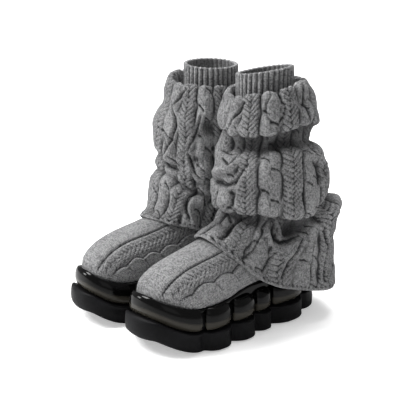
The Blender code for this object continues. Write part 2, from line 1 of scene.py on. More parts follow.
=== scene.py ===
"""Looks of a pair of cable-knit loose socks, slouched round the ankles of a pair of lobed platform soles.

Cloth is worked out in millimetres about each ankle: x to the pair's +X side, y to the heel, z up. An angle
round a leg is measured from the toe towards +X. The pieces are placed in the frame, which is in metres.
"""
from __future__ import annotations

import logging
import math
from dataclasses import dataclass
from enum import Enum
from typing import Any, NamedTuple, Sequence

import bpy
import numpy as np
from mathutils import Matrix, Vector
from mathutils.bvhtree import BVHTree

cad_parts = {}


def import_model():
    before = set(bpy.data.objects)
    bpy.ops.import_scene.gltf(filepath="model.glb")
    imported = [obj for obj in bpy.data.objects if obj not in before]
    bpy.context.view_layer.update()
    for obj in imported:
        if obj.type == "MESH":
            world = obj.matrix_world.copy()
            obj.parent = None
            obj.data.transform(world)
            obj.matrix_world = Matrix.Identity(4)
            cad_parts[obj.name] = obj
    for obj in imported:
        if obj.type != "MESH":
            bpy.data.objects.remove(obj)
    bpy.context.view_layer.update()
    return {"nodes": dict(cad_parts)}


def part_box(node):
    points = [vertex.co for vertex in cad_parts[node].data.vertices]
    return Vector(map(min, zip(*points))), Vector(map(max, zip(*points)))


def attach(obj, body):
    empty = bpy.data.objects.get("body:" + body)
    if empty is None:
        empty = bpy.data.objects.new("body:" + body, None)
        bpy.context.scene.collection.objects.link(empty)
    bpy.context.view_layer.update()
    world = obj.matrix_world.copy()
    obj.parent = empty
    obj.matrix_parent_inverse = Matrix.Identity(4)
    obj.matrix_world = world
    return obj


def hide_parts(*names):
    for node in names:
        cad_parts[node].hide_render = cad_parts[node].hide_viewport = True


LOG = logging.getLogger("loose_socks")
MM = 0.001
BODY = "root"
LEAST_LENGTH = 1e-9
LEAST_GAP = 1e-6


class Side(Enum):
    """The left and the right shoe, with the sign of their outer side."""

    LEFT = 1
    RIGHT = -1

    @property
    def suffix(self) -> str:
        """Return the ending of the shoe's node names."""
        return self.name.lower()


class Slot(Enum):
    """The record's material slots."""

    KNIT = "knit"
    RUBBER = "rubber"
    GLOSS = "gloss"


# Curves and distances

def hermite(a: Any, b: Any, slope_a: Any, slope_b: Any, run: Any, t: Any) -> Any:
    """Return a cubic from a to b.

    Args:
        a: Value at the start.
        b: Value at the end.
        slope_a: Slope at the start.
        slope_b: Slope at the end.
        run: Distance from start to end.
        t: Share of the run, from 0 to 1.

    Returns:
        The value at that share.
    """
    t2, t3 = t * t, t * t * t
    return ((2 * t3 - 3 * t2 + 1) * a + (t3 - 2 * t2 + t) * run * slope_a
            + (3 * t2 - 2 * t3) * b + (t3 - t2) * run * slope_b)


def along(xs: Sequence[float], ys: Sequence[float], x: np.ndarray) -> np.ndarray:
    """Read a smooth curve through points in rising order, without overshoot.

    Args:
        xs: Places of the points.
        ys: Values at the points.
        x: Places to read.

    Returns:
        The values there.
    """
    px, py = np.array(xs, float), np.array(ys, float)
    steps = np.diff(py) / np.diff(px)
    left, right = steps[:-1], steps[1:]
    product = left * right
    total = np.where(product > 0, left + right, 1.0)
    slopes = np.concatenate(([steps[0]], np.where(product > 0, 2 * product / total, 0.0), [steps[-1]]))
    place = np.clip(x, px[0], px[-1])
    i = np.clip(np.searchsorted(px, place, side="right") - 1, 0, len(px) - 2)
    run = px[i + 1] - px[i]
    return hermite(py[i], py[i + 1], slopes[i], slopes[i + 1], run, (place - px[i]) / run)


def knot_gap(a: np.ndarray, b: np.ndarray) -> np.ndarray:
    """Return the root of the distance from point to point, by which a spline's knots are spaced."""
    return np.maximum(np.linalg.norm(b - a, axis=-1, keepdims=True), LEAST_GAP) ** 0.5


def spline(points: np.ndarray, i: int, t: float) -> np.ndarray:
    """Read a smooth curve whose speed follows its points' spacing, for many curves side by side.

    Args:
        points: The curves' points, one row of the array for each point.
        i: Number of the point that the stretch starts from.
        t: Share of the stretch.

    Returns:
        The place on each curve.
    """
    last = len(points) - 1
    p1, p2 = points[i], points[i + 1]
    p0 = points[i - 1] if i > 0 else p1 * 2 - p2
    p3 = points[i + 2] if i + 2 <= last else p2 * 2 - p1
    t0 = 0.0
    t1 = t0 + knot_gap(p0, p1)
    t2 = t1 + knot_gap(p1, p2)
    t3 = t2 + knot_gap(p2, p3)
    at = t1 + (t2 - t1) * t
    a1 = p0 * ((t1 - at) / (t1 - t0)) + p1 * ((at - t0) / (t1 - t0))
    a2 = p1 * ((t2 - at) / (t2 - t1)) + p2 * ((at - t1) / (t2 - t1))
    a3 = p2 * ((t3 - at) / (t3 - t2)) + p3 * ((at - t2) / (t3 - t2))
    b1 = a1 * ((t2 - at) / (t2 - t0)) + a2 * ((at - t0) / (t2 - t0))
    b2 = a2 * ((t3 - at) / (t3 - t1)) + a3 * ((at - t1) / (t3 - t1))
    return b1 * ((t2 - at) / (t2 - t1)) + b2 * ((at - t1) / (t2 - t1))


def unit(vectors: np.ndarray) -> np.ndarray:
    """Return the vectors at length 1."""
    return vectors / np.maximum(np.linalg.norm(vectors, axis=-1, keepdims=True), LEAST_LENGTH)


def smooth(share: np.ndarray) -> np.ndarray:
    """Return an eased step of a share that is cut to 0 to 1."""
    t = np.clip(share, 0.0, 1.0)
    return t * t * (3 - 2 * t)


def peak(distance: np.ndarray, half: Any) -> np.ndarray:
    """Return a soft peak that is 1 at distance 0 and has mostly died away at twice its half width."""
    return np.exp(-(distance / half) ** 2)


def wrapped(degrees: np.ndarray) -> np.ndarray:
    """Return turns brought within half a turn of 0."""
    return (degrees + 180.0) % 360.0 - 180.0


def grid_normals(grid: np.ndarray, flip: bool) -> np.ndarray:
    """Return the outward directions of a grid of rings.

    Args:
        grid: Rings of points, shape (rows, columns, 3).
        flip: Whether the rings run down the piece rather than up.

    Returns:
        An array of the grid's shape.
    """
    across = np.roll(grid, -1, 1) - np.roll(grid, 1, 1)
    up = np.gradient(grid, axis=0)
    normal = unit(np.cross(across, up))
    return -normal if flip else normal


# Light that is lost in hollows, painted into the cloth's colour as shade

def blurred(heights: np.ndarray, reach: int) -> np.ndarray:
    """Average a grid of heights, closed across and open down, over a soft reach of points.

    Args:
        heights: Height at each point.
        reach: Half width of the average, in points.

    Returns:
        The averages, in the grid's shape.
    """
    taps = np.arange(-2 * reach, 2 * reach + 1)
    weights = peak(taps, reach)
    weights /= weights.sum()
    across = sum(weight * np.roll(heights, tap, 1) for tap, weight in zip(taps, weights))
    ends = [np.repeat(row, 2 * reach, 0) for row in (across[:1], across[-1:])]
    padded = np.concatenate((ends[0], across, ends[1]))
    stop = len(padded) - 2 * reach
    return sum(weight * padded[2 * reach + tap:stop + tap] for tap, weight in zip(taps, weights))


class Hollow(NamedTuple):
    """How a hollow loses light: reach in points, depth at the start, run to the darkest, and share lost."""

    reach: int
    start: float
    run: float
    weight: float

    def lost(self, heights: np.ndarray) -> np.ndarray:
        """Return the share of the light that each point of a grid of heights loses."""
        depth = blurred(heights, self.reach) - heights
        return self.weight * np.clip((depth - self.start) / self.run, 0, 1)


FINE_HOLLOW = Hollow(2, 0.06, 0.65, 0.85)
BROAD_HOLLOW = Hollow(6, 0.4, 3.0, 0.6)
FOLD_HOLLOW = Hollow(14, 1.0, 7.0, 0.65)
LEAST_LIGHT = 0.05


def shading(heights: np.ndarray, radii: np.ndarray | float = 0.0) -> np.ndarray:
    """Work out how open each point of a grid lies to the light, as shade that is painted into the cloth's
    colour.

    Args:
        heights: Height of each point above the plain cloth, in millimetres.
        radii: Radius of the plain cloth at each point.

    Returns:
        A share at each point, near 0 deep in a hollow and 1 in the open.
    """
    fine = 1 - FINE_HOLLOW.lost(heights) - BROAD_HOLLOW.lost(heights)
    return np.clip(fine, LEAST_LIGHT, 1) * (1 - FOLD_HOLLOW.lost(heights + radii))


class Ramp(NamedTuple):
    """An eased rise that starts at a value and is full after a run."""

    start: float
    run: float
    full: float

    def at(self, values: np.ndarray) -> np.ndarray:
        """Return the height of the rise at each value."""
        return self.full * smooth((values - self.start) / self.run)


@dataclass(frozen=True)
class Overhang:
    """How the folds of a tube of cloth shade it from above and from below.

    Attributes:
        first_row, rows: Least and greatest number of rows from a point to a fold that shades it.
        softness: Distance in millimetres that is added to each, so that near rows count less.
        above, below: Light lost to the folds there, by how far they stand out for their distance.
    """

    first_row: int = 2
    rows: int = 28
    softness: float = 3.0
    above: Ramp = Ramp(0.12, 0.95, 0.52)
    below: Ramp = Ramp(0.3, 1.5, 0.4)

    def light(self, radii: np.ndarray, levels: np.ndarray) -> np.ndarray:
        """Work out the light that the folds leave.

        Args:
            radii: Radius at each point of a grid whose rows run down.
            levels: Height at each point.

        Returns:
            The share of the light at each point.
        """
        above, below = np.zeros(radii.shape), np.zeros(radii.shape)
        for lag in range(self.first_row, self.rows):
            away = np.abs(levels[:-lag] - levels[lag:]) + self.softness
            ahead = (radii[:-lag] - radii[lag:]) / away
            above[lag:] = np.maximum(above[lag:], ahead)
            below[:-lag] = np.maximum(below[:-lag], -ahead)
        return (1 - self.above.at(above)) * (1 - self.below.at(below))


# Relief of the knit

@dataclass(frozen=True)
class CableKnit:
    """A knit of broad rope cables and plaits with gutters between them, in millimetres of flat cloth.

    Attributes:
        cable_phase, cable_stagger: Shift of the lobes along the cloth, and from one cable to the next.
        lobe_pitch, lobe_half, lobe_length: Distance from lobe to lobe, and half of a lobe's size.
        lobe_slant, lobe_crown, lobe_tuck: A lobe's lean, its fullness, and how far its lower end dips.
        crossing_depth: Depth of the strands' edges, which are curved strokes.
        stroke_drop, stroke_bend: How far a stroke runs down over half a cable, and how sharply it bends.
        neck_depth, neck_widening: How far a cable narrows and its gutter widens at a crossing.
    """

    repeat: float = 60.0
    cable_half: float = 13.6
    cable_ground: float = 0.5
    cable_phase: float = 26.5
    cable_stagger: float = 13.0
    lobe_pitch: float = 41.0
    lobe_half: float = 11.6
    lobe_length: float = 25.0
    lobe_slant: float = 0.06
    lobe_height: float = 3.8
    lobe_crown: float = 0.55
    lobe_tuck: float = 0.35
    crossing_depth: float = 2.3
    stroke_drop: float = 9.0
    stroke_bend: float = 1.8
    stroke_gap: float = 4.6
    stroke_half: float = 1.9
    stroke_start: float = 1.0
    stroke_reach: float = 13.0
    stroke_fade: float = 2.0
    plait_half: float = 12.4
    plait_ground: float = 0.4
    plait_pitch: float = 6.8
    plait_slant: float = 0.78
    plait_height: float = 2.1
    plait_taper: float = 0.8
    plait_offset: float = 0.12
    plait_unevenness: float = 0.08
    plait_wave: float = 7.3
    plait_stagger: float = 3.0
    gutter_depth: float = 1.6
    gutter_half: float = 1.8
    gutter_share: float = 0.8
    gutter_unevenness: float = 0.35
    gutter_wave: float = 19.0
    gutter_phases: tuple[float, float] = (2.3, 1.7)
    neck_depth: float = 2.6
    neck_half: float = 6.5
    neck_widening: float = 0.5

    def cable(self, x: np.ndarray, v: np.ndarray) -> np.ndarray:
        """Work out the height of a rope cable, each lobe of which lies over the lower end of the last.

        Args:
            x: Distance from the cable's middle.
            v: Distance along it.

        Returns:
            The height at each point.
        """
        best = self.cable_ground * np.sqrt(np.clip(1 - np.abs(x / self.cable_half) ** 3, 0, 1))
        nearest = np.round(v / self.lobe_pitch)
        for shift in (-1.0, 0.0, 1.0):
            down = v - (nearest + shift) * self.lobe_pitch
            aside = x - self.lobe_slant * down
            body = 1 - (aside / self.lobe_half) ** 2 - np.abs(down / self.lobe_length) ** 3
            tuck = 1.0 - self.lobe_tuck * smooth(down / self.lobe_length)
            best = np.maximum(best, self.lobe_height * np.clip(body, 0, 1) ** self.lobe_crown * tuck)
        return best

    def strokes(self, x: np.ndarray, down: np.ndarray) -> np.ndarray:
        """Work out where the edges of the strands show, two curved strokes at each crossing of a cable.

        Args:
            x: Distance from the cable's middle.
            down: Distance down from the nearest crossing.

        Returns:
            A share at each point, 1 on a stroke.
        """
        share = np.clip(np.where(x < 0, 1 + x / self.cable_half, x / self.cable_half), 0, 1)
        start = np.where(x < 0, self.stroke_gap, -self.stroke_gap) / 2 - self.stroke_drop / 2
        aside = np.abs(x)
        window = smooth(aside / self.stroke_start) * smooth((self.stroke_reach - aside) / self.stroke_fade)
        return peak(down - start - self.stroke_drop * share ** self.stroke_bend, self.stroke_half) * window

    def plait(self, x: np.ndarray, v: np.ndarray) -> np.ndarray:
        """Work out the height of a plait of slanting lobes that meet in points along its middle.

        Args:
            x: Distance from the plait's middle.
            v: Distance along it.

        Returns:
            The height at each point.
        """
        edge = np.sqrt(np.clip(1 - np.abs(x / self.plait_half) ** 4, 0, 1))
        wave = np.sin(v / self.plait_wave + np.sign(x))
        uneven = self.plait_unevenness * wave + self.plait_offset * np.sign(x)
        place = (v + np.abs(x) * self.plait_slant) / self.plait_pitch + uneven
        from_lobe = 2 * (place - np.round(place))
        out = np.abs(x) / self.plait_half * 2 - 1
        lobe = np.sqrt(np.clip(1 - from_lobe ** 2 - self.plait_taper * np.abs(out) ** 3, 0, 1))
        return self.plait_ground * edge + self.plait_height * lobe

    def height(self, x: np.ndarray, v: np.ndarray) -> np.ndarray:
        """Work out the height of the cloth above its ground.

        Args:
            x: Distance across the cloth from the middle of a cable.
            v: Distance along the cloth.

        Returns:
            The height at each point.
        """
        number = np.round(x / self.repeat)
        from_cable = x - number * self.repeat
        between = np.round(x / self.repeat - 0.5)
        from_plait = x - (between + 0.5) * self.repeat
        in_cable = v + self.cable_phase + self.cable_stagger * number
        down = in_cable % self.lobe_pitch - self.lobe_pitch / 2
        neck = peak(down, self.neck_half)
        edge = (self.cable_half + self.repeat / 2 - self.plait_half) / 2 - self.neck_depth * neck
        gutter = peak(np.abs(np.abs(from_cable) - edge), self.gutter_half * (1 + self.neck_widening * neck))
        wave = np.sin(v / self.gutter_wave + self.gutter_phases[0] * number + self.gutter_phases[1] * between)
        dip = self.gutter_depth * (self.gutter_share + self.gutter_unevenness * wave) * gutter
        plait = self.plait(from_plait, v + self.plait_stagger * between)
        knit = np.maximum(self.cable(from_cable, in_cable), plait)
        return knit - np.maximum(dip, self.crossing_depth * self.strokes(from_cable, down))


KNIT = CableKnit()


# Folds of the two legs

FOLD_TURNS = (-45.0, 0.0, 45.0, 90.0, 135.0, 225.0)
SEAM_HEIGHTS = (299.7,) * len(FOLD_TURNS)
SEAM_RADII = (38.0,) * len(FOLD_TURNS)


@dataclass(frozen=True)
class Fold:
    """One line round the leg.

    Attributes:
        name: What the line is.
        rows: Rows down to the next line where the cloth is set against the foot.
        heights: Height at each of FOLD_TURNS.
        radii: Radius at each of FOLD_TURNS.
    """

    name: str
    rows: int
    heights: tuple[float, ...]
    radii: tuple[float, ...]


@dataclass(frozen=True)
class Crease:
    """A trough or ridge laid along the cloth, which dies away at its ends.

    Attributes:
        depth: Depth in the middle, below 0 for a ridge.
        width: Half width.
        path: Points (turn, place), a place being the number of a fold line and a share of the way on.
        lift: How far the cloth on the path's left stands above the other side, below 0 for its right.
    """

    depth: float
    width: float
    path: tuple[tuple[float, float], ...]
    lift: float = 0.0


@dataclass(frozen=True)
class Swell:
    """A rounded bulge or, below 0, a hollow. In a table of plains, a patch whose relief is lost.

    Attributes:
        turn: Middle, round the leg.
        place: Middle, down the leg, as a crease's place.
        across: Half size round the leg.
        down: Half size down the leg.
        height: Height in the middle, or the share of the relief that is lost there.
    """

    turn: float
    place: float
    across: float
    down: float
    height: float


LEFT_FOLDS = (
    Fold("seam", 1, SEAM_HEIGHTS, SEAM_RADII),
    Fold("pocket", 2, (294, 293, 294, 295, 295, 294), (39.5, 41, 43, 43, 42, 39.5)),
    Fold("collar", 2, (309, 304, 312, 320, 323, 312), (46, 53, 57, 57, 52, 45)),
    Fold("upper", 2, (290, 289, 292, 300, 302, 298), (54, 60, 64, 66, 62, 60)),
    Fold("lip A", 1, (262, 263, 264, 273, 268, 268), (59, 67, 69, 71, 72, 69)),
    Fold("under A", 1, (258, 261, 262, 270, 263, 264), (55, 59, 59, 61, 64, 60)),
    Fold("recess A", 2, (240, 240, 240, 246, 242, 242), (57, 54, 54, 55, 58, 57)),
    Fold("crest B", 2, (220, 229, 234, 238, 226, 228), (65, 69, 71, 75, 79, 73)),
    Fold("panel B", 2, (204, 208, 210, 212, 205, 205), (67, 75, 77, 81, 86, 78)),
    Fold("lip B", 1, (166, 161, 160, 155, 177, 164), (66, 76, 77, 81, 85, 79)),
    Fold("under B", 1, (163, 161, 160, 155, 170, 163), (57, 65, 66, 70, 79, 69)),
    Fold("recess B", 1, (147, 148, 142, 136, 165, 148), (55, 62, 62, 66, 92, 69)),
    Fold("crest C", 3, (136, 140, 126, 124, 158, 136), (59, 76, 70, 75, 105, 84)),
    Fold("skirt", 3, (116, 132, 96, 88, 112, 94), (68, 94, 75, 79, 97, 88)),
    Fold("hem", 0, (100, 123, 71, 50, 40, 56), (84, 110, 81, 80, 102, 92)),
)

RIGHT_FOLDS = (
    Fold("seam", 1, SEAM_HEIGHTS, SEAM_RADII),
    Fold("pocket", 2, (295, 294, 294, 294, 295, 295), (43, 42, 41, 40, 40, 42)),
    Fold("collar", 2, (320, 310, 309, 309, 313, 320), (55, 55, 52, 47, 48, 55)),
    Fold("upper", 2, (292, 286, 286, 290, 294, 294), (65, 63, 63, 62, 63, 65)),
    Fold("belly", 2, (246, 250, 246, 250, 252, 246), (81, 71, 65, 68, 74, 79)),
    Fold("lip A", 1, (214, 208, 184, 182, 198, 212), (79, 74, 71, 74, 78, 80)),
    Fold("under A", 1, (211, 205, 181, 179, 195, 209), (71, 66, 63, 66, 70, 72)),
    Fold("roll", 1, (192, 193, 169, 166, 180, 192), (80, 75, 71, 74, 80, 81)),
    Fold("tuck", 1, (181, 184, 161, 158, 170, 180), (74, 69, 64, 68, 74, 74)),
    Fold("crest C", 2, (168, 174, 152, 148, 158, 168), (87, 79, 71, 76, 87, 88)),
    Fold("skirt", 3, (136, 144, 132, 110, 108, 122), (88, 88, 76, 82, 91, 91)),
    Fold("hem", 0, (102, 120, 113, 72, 48, 44), (95, 104, 77, 82, 93, 96)),
)

# Creases and swells, as placed on each leg. The hidden sides carry similar ones.

LEFT_CREASES = (
    Crease(2.6, 2.4, ((22, 2.3), (17, 2.6), (12, 3.1), (6, 3.4), (3, 3.8), (-3, 4.2)), 3.2),
    Crease(2.4, 1.8, ((62, 1.9), (60, 2.3), (63, 2.7), (66, 3.0), (64, 3.35), (57, 3.6))),
    Crease(1.7, 1.7, ((51, 2.3), (45, 2.75), (45, 3.15), (50, 3.5), (57, 3.6))),
    Crease(3.2, 2.4, ((95, 1.9), (92, 2.4), (90, 3.1), (93, 3.5), (99, 4.0)), 2.4),
    Crease(1.8, 1.8, ((112, 2.2), (117, 2.9), (112, 3.6))),
    Crease(2.4, 2.2, ((-22, 6.44), (-9, 6.56), (9, 6.81)), -2.0),
    Crease(2.8, 2.0, ((-8, 7.1), (1, 7.38), (7, 7.52), (11, 7.3), (13, 6.97))),
    Crease(-5.0, 6.0, ((-30, 8.05), (-10, 7.95), (4, 7.75), (14, 7.45), (23, 7.05))),
    Crease(5.2, 2.8, ((-70, 8.3), (-40, 8.25), (-12, 8.3), (7, 8.29), (16, 8.2), (21, 7.95), (26, 7.5))),
    Crease(2.8, 2.2, ((10, 8.35), (15, 8.5), (14, 8.7), (6, 8.95)), -1.5),
    Crease(3.4, 1.7, ((85, 7.0), (83, 7.6), (83, 8.2), (83, 8.55), (85, 8.95))),
    Crease(-2.6, 3.6, ((90, 7.2), (104, 7.3), (120, 7.7), (122, 8.2), (108, 8.55))),
    Crease(3.4, 2.8, ((97, 7.6), (107, 7.9), (108, 8.2), (100, 8.4))),
    Crease(6.0, 2.8, ((52, 10.4), (55, 11.0), (54, 11.5), (58, 12.0), (63, 12.15), (72, 12.05), (84, 11.85))),
    Crease(3.2, 2.2, ((50, 10.5), (44, 11.1), (42, 11.4), (43, 11.8))),
    Crease(-3.2, 3.0, ((49, 10.9), (48, 11.4), (50, 11.9), (56, 12.35))),
    Crease(-3.2, 4.0, ((58, 10.4), (63, 11.0), (66, 11.5))),
    Crease(1.8, 1.5, ((62, 10.6), (68, 11.1), (70, 11.4))),
    Crease(3.2, 1.8, ((86, 11.8), (88, 12.1), (81, 12.5), (71, 12.8), (69, 13.0), (63, 13.5), (63, 13.85)),
           -2.0),
    Crease(2.0, 1.6, ((61, 12.4), (54, 12.65), (49, 12.95), (46, 13.3), (42, 13.75))),
    Crease(-4.2, 4.4, ((104, 11.3), (99, 12.1), (96, 12.4), (94, 12.7), (91, 13.1))),
    Crease(2.6, 1.8, ((101, 12.1), (97, 12.55), (95, 13.1), (97, 13.5), (94, 13.95))),
    Crease(3.4, 2.0, ((112, 12.0), (110, 12.4), (116, 13.0), (113, 13.4), (114, 13.95)), 1.0),
    Crease(1.8, 1.8, ((124, 13.1), (129, 13.4), (133, 13.75))),
    Crease(2.8, 2.0, ((34, 10.3), (18, 11.0), (12, 11.6), (11, 12.1), (12, 12.9), (5, 13.9)), 2.0),
    Crease(2.0, 1.8, ((-8, 10.6), (5, 11.4), (10, 11.9))),
    Crease(1.8, 1.6, ((48, 10.8), (43, 11.7), (33, 12.8), (24, 13.9))),
    Crease(2.4, 2.0, ((38, 4.6), (42, 5.4), (36, 6.2))),
    Crease(3.0, 2.4, ((160, 1.9), (152, 2.5), (157, 3.1), (150, 3.8)), 2.0),
    Crease(2.4, 2.0, ((196, 2.2), (204, 2.8), (198, 3.5))),
    Crease(3.0, 2.4, ((238, 2.0), (230, 2.7), (236, 3.3), (246, 3.9)), -2.0),
    Crease(2.2, 2.0, ((282, 2.3), (276, 2.9), (284, 3.6))),
    Crease(3.4, 2.6, ((150, 7.0), (166, 7.4), (174, 7.9), (160, 8.3)), 1.5),
    Crease(2.6, 2.2, ((196, 7.1), (190, 7.8), (202, 8.4), (198, 8.9))),
    Crease(3.6, 2.6, ((222, 7.0), (240, 7.5), (252, 7.8), (262, 7.3)), -1.5),
    Crease(-2.8, 4.6, ((224, 7.6), (240, 8.0), (256, 8.1))),
    Crease(2.4, 2.0, ((286, 7.2), (279, 8.0), (288, 8.7))),
    Crease(3.2, 2.2, ((152, 11.3), (146, 12.0), (154, 12.7), (148, 13.4), (151, 13.95)), 1.5),
    Crease(-3.4, 4.6, ((172, 11.2), (168, 12.0), (174, 12.9))),
    Crease(3.0, 2.0, ((190, 11.1), (184, 12.1), (192, 12.9), (188, 13.9))),
    Crease(3.0, 2.2, ((222, 11.2), (231, 12.0), (224, 12.8), (229, 13.9)), -1.5),
    Crease(2.6, 2.0, ((262, 11.0), (254, 11.9), (262, 12.8), (270, 13.8))),
    Crease(3.4, 2.4, ((300, 10.6), (290, 11.5), (298, 12.3), (312, 13.0), (318, 13.9)), 1.5),
)

LEFT_SWELLS = (
    Swell(56, 2.95, 9, 13, 1.8),
    Swell(112, 3.1, 14, 18, 2.5),
    Swell(20, 3.4, 9, 14, 1.5),
    Swell(104, 7.95, 12, 14, -6.5),
    Swell(10, 8.65, 12, 9, 2.5),
    Swell(75, 11.35, 15, 12, -8.5),
    Swell(70, 12.4, 14, 10, 2.5),
    Swell(30, 12.2, 16, 16, 2.0),
    Swell(-6, 6.0, 12, 11, -4.5),
    Swell(-54, 8.3, 16, 6, -5.0),
    Swell(175, 3.0, 20, 16, 3.0),
    Swell(262, 3.1, 16, 16, 2.5),
    Swell(-48, 7.6, 30, 22, -4.0),
    Swell(165, 8.3, 14, 12, -4.5),
    Swell(215, 8.0, 18, 14, 2.5),
    Swell(268, 8.4, 14, 10, -3.5),
    Swell(206, 12.2, 13, 14, -4.0),
    Swell(276, 12.0, 13, 12, -4.0),
)

RIGHT_CREASES = (
    Crease(3.0, 2.2, ((23, 2.1), (21, 2.35), (14, 2.65), (6, 3.05), (2, 3.2)), 2.6),
    Crease(3.6, 2.2, ((-3, 3.0), (6, 3.3), (12, 3.55), (13, 3.85), (10, 4.2), (3, 4.65), (-4, 4.9)), 2.4),
    Crease(1.9, 1.8, ((-23, 3.95), (-4, 4.1), (9, 4.3))),
    Crease(2.4, 1.8, ((48, 3.2), (40, 3.85), (34, 4.2), (29, 4.45))),
    Crease(-1.6, 4.6, ((40, 3.6), (48, 3.35), (60, 3.35))),
    Crease(-2.0, 5.0, ((30, 4.42), (42, 4.4), (54, 4.38), (66, 4.38))),
    Crease(2.8, 2.0, ((31, 4.4), (35, 4.6), (41, 4.8), (48, 4.95)), -1.5),
    Crease(2.2, 1.8, ((2, 4.7), (12, 4.78), (24, 4.85)), 1.0),
    Crease(3.2, 2.2, ((39, 8.2), (34, 8.8), (31, 9.4), (31, 9.8), (36, 10.5)), 2.2),
    Crease(2.0, 1.8, ((-18, 9.3), (-3, 9.7), (-5, 10.3))),
    Crease(1.8, 1.6, ((-6, 10.2), (1, 10.5), (2, 10.9))),
    Crease(2.2, 2.0, ((58, 8.6), (63, 9.3), (58, 10.1))),
    Crease(2.4, 2.0, ((-14, 6.2), (2, 6.6), (14, 6.4))),
    Crease(3.0, 2.4, ((104, 2.1), (96, 2.8), (103, 3.5), (97, 4.3)), 1.8),
    Crease(2.4, 2.0, ((140, 2.0), (148, 2.8), (141, 3.6), (146, 4.4))),
    Crease(3.2, 2.4, ((186, 2.0), (178, 2.8), (186, 3.4), (194, 4.2)), -2.0),
    Crease(2.6, 2.0, ((222, 2.2), (230, 2.9), (224, 3.7), (231, 4.6))),
    Crease(3.2, 2.4, ((262, 2.0), (252, 2.8), (258, 3.5), (250, 4.3)), 2.0),
    Crease(2.4, 2.0, ((302, 2.4), (310, 3.2), (303, 3.9))),
    Crease(3.0, 2.2, ((120, 8.6), (112, 9.3), (121, 10.0), (116, 10.9)), 1.5),
    Crease(-3.4, 4.4, ((140, 8.8), (136, 9.6), (142, 10.3))),
    Crease(2.8, 2.0, ((160, 8.7), (153, 9.5), (161, 10.2), (157, 10.9))),
    Crease(3.0, 2.2, ((196, 8.6), (205, 9.4), (198, 10.1), (202, 10.9)), -1.5),
    Crease(2.8, 2.0, ((238, 8.6), (230, 9.3), (238, 10.1), (246, 10.9))),
    Crease(3.2, 2.2, ((276, 8.6), (268, 9.3), (276, 10.0), (288, 10.8)), 1.5),
    Crease(2.4, 2.0, ((318, 8.7), (324, 9.5), (318, 10.3))),
)

RIGHT_SWELLS = (
    Swell(54, 3.88, 15, 14, -9.5),
    Swell(46, 4.65, 13, 11, 3.0),
    Swell(-6, 3.9, 12, 18, 2.5),
    Swell(24, 3.6, 9, 14, 1.5),
    Swell(14, 9.3, 14, 15, 3.0),
    Swell(48, 9.6, 12, 16, -4.0),
    Swell(120, 3.6, 16, 16, 3.0),
    Swell(165, 3.9, 14, 14, -4.5),
    Swell(240, 3.3, 16, 16, 3.0),
    Swell(285, 3.8, 14, 14, -4.0),
    Swell(178, 9.6, 14, 14, -4.0),
    Swell(258, 9.8, 14, 13, -3.5),
)


# Patches where the knit lies flat, with the share of its relief that is lost

LEFT_PLAINS = (
    Swell(-2, 7.6, 26, 22, 0.9),
    Swell(-14, 3.1, 12, 22, 0.7),
    Swell(93, 7.9, 9, 24, 0.7),
    Swell(86, 11.4, 14, 12, 0.6),
    Swell(168, 8.0, 14, 16, 0.6),
    Swell(240, 7.6, 16, 16, 0.6),
)

RIGHT_PLAINS = (
    Swell(0, 3.3, 13, 26, 0.6),
    Swell(50, 4.2, 16, 16, 0.6),
    Swell(2, 6.3, 20, 12, 0.5),
    Swell(172, 3.6, 14, 20, 0.5),
    Swell(262, 9.6, 14, 18, 0.5),
)


@dataclass(frozen=True)
class LegShape:
    """The form of one leg.

    Attributes:
        folds: Lines round the leg, from the cuff's seam down to the hem.
        creases: Troughs and ridges laid over the folds.
        swells: Bulges and hollows laid over the folds.
        plains: Patches where the knit lies flat, with the share of its relief that is lost.
    """

    folds: tuple[Fold, ...]
    creases: tuple[Crease, ...]
    swells: tuple[Swell, ...]
    plains: tuple[Swell, ...]


LEFT_LEG = LegShape(LEFT_FOLDS, LEFT_CREASES, LEFT_SWELLS, LEFT_PLAINS)
RIGHT_LEG = LegShape(RIGHT_FOLDS, RIGHT_CREASES, RIGHT_SWELLS, RIGHT_PLAINS)


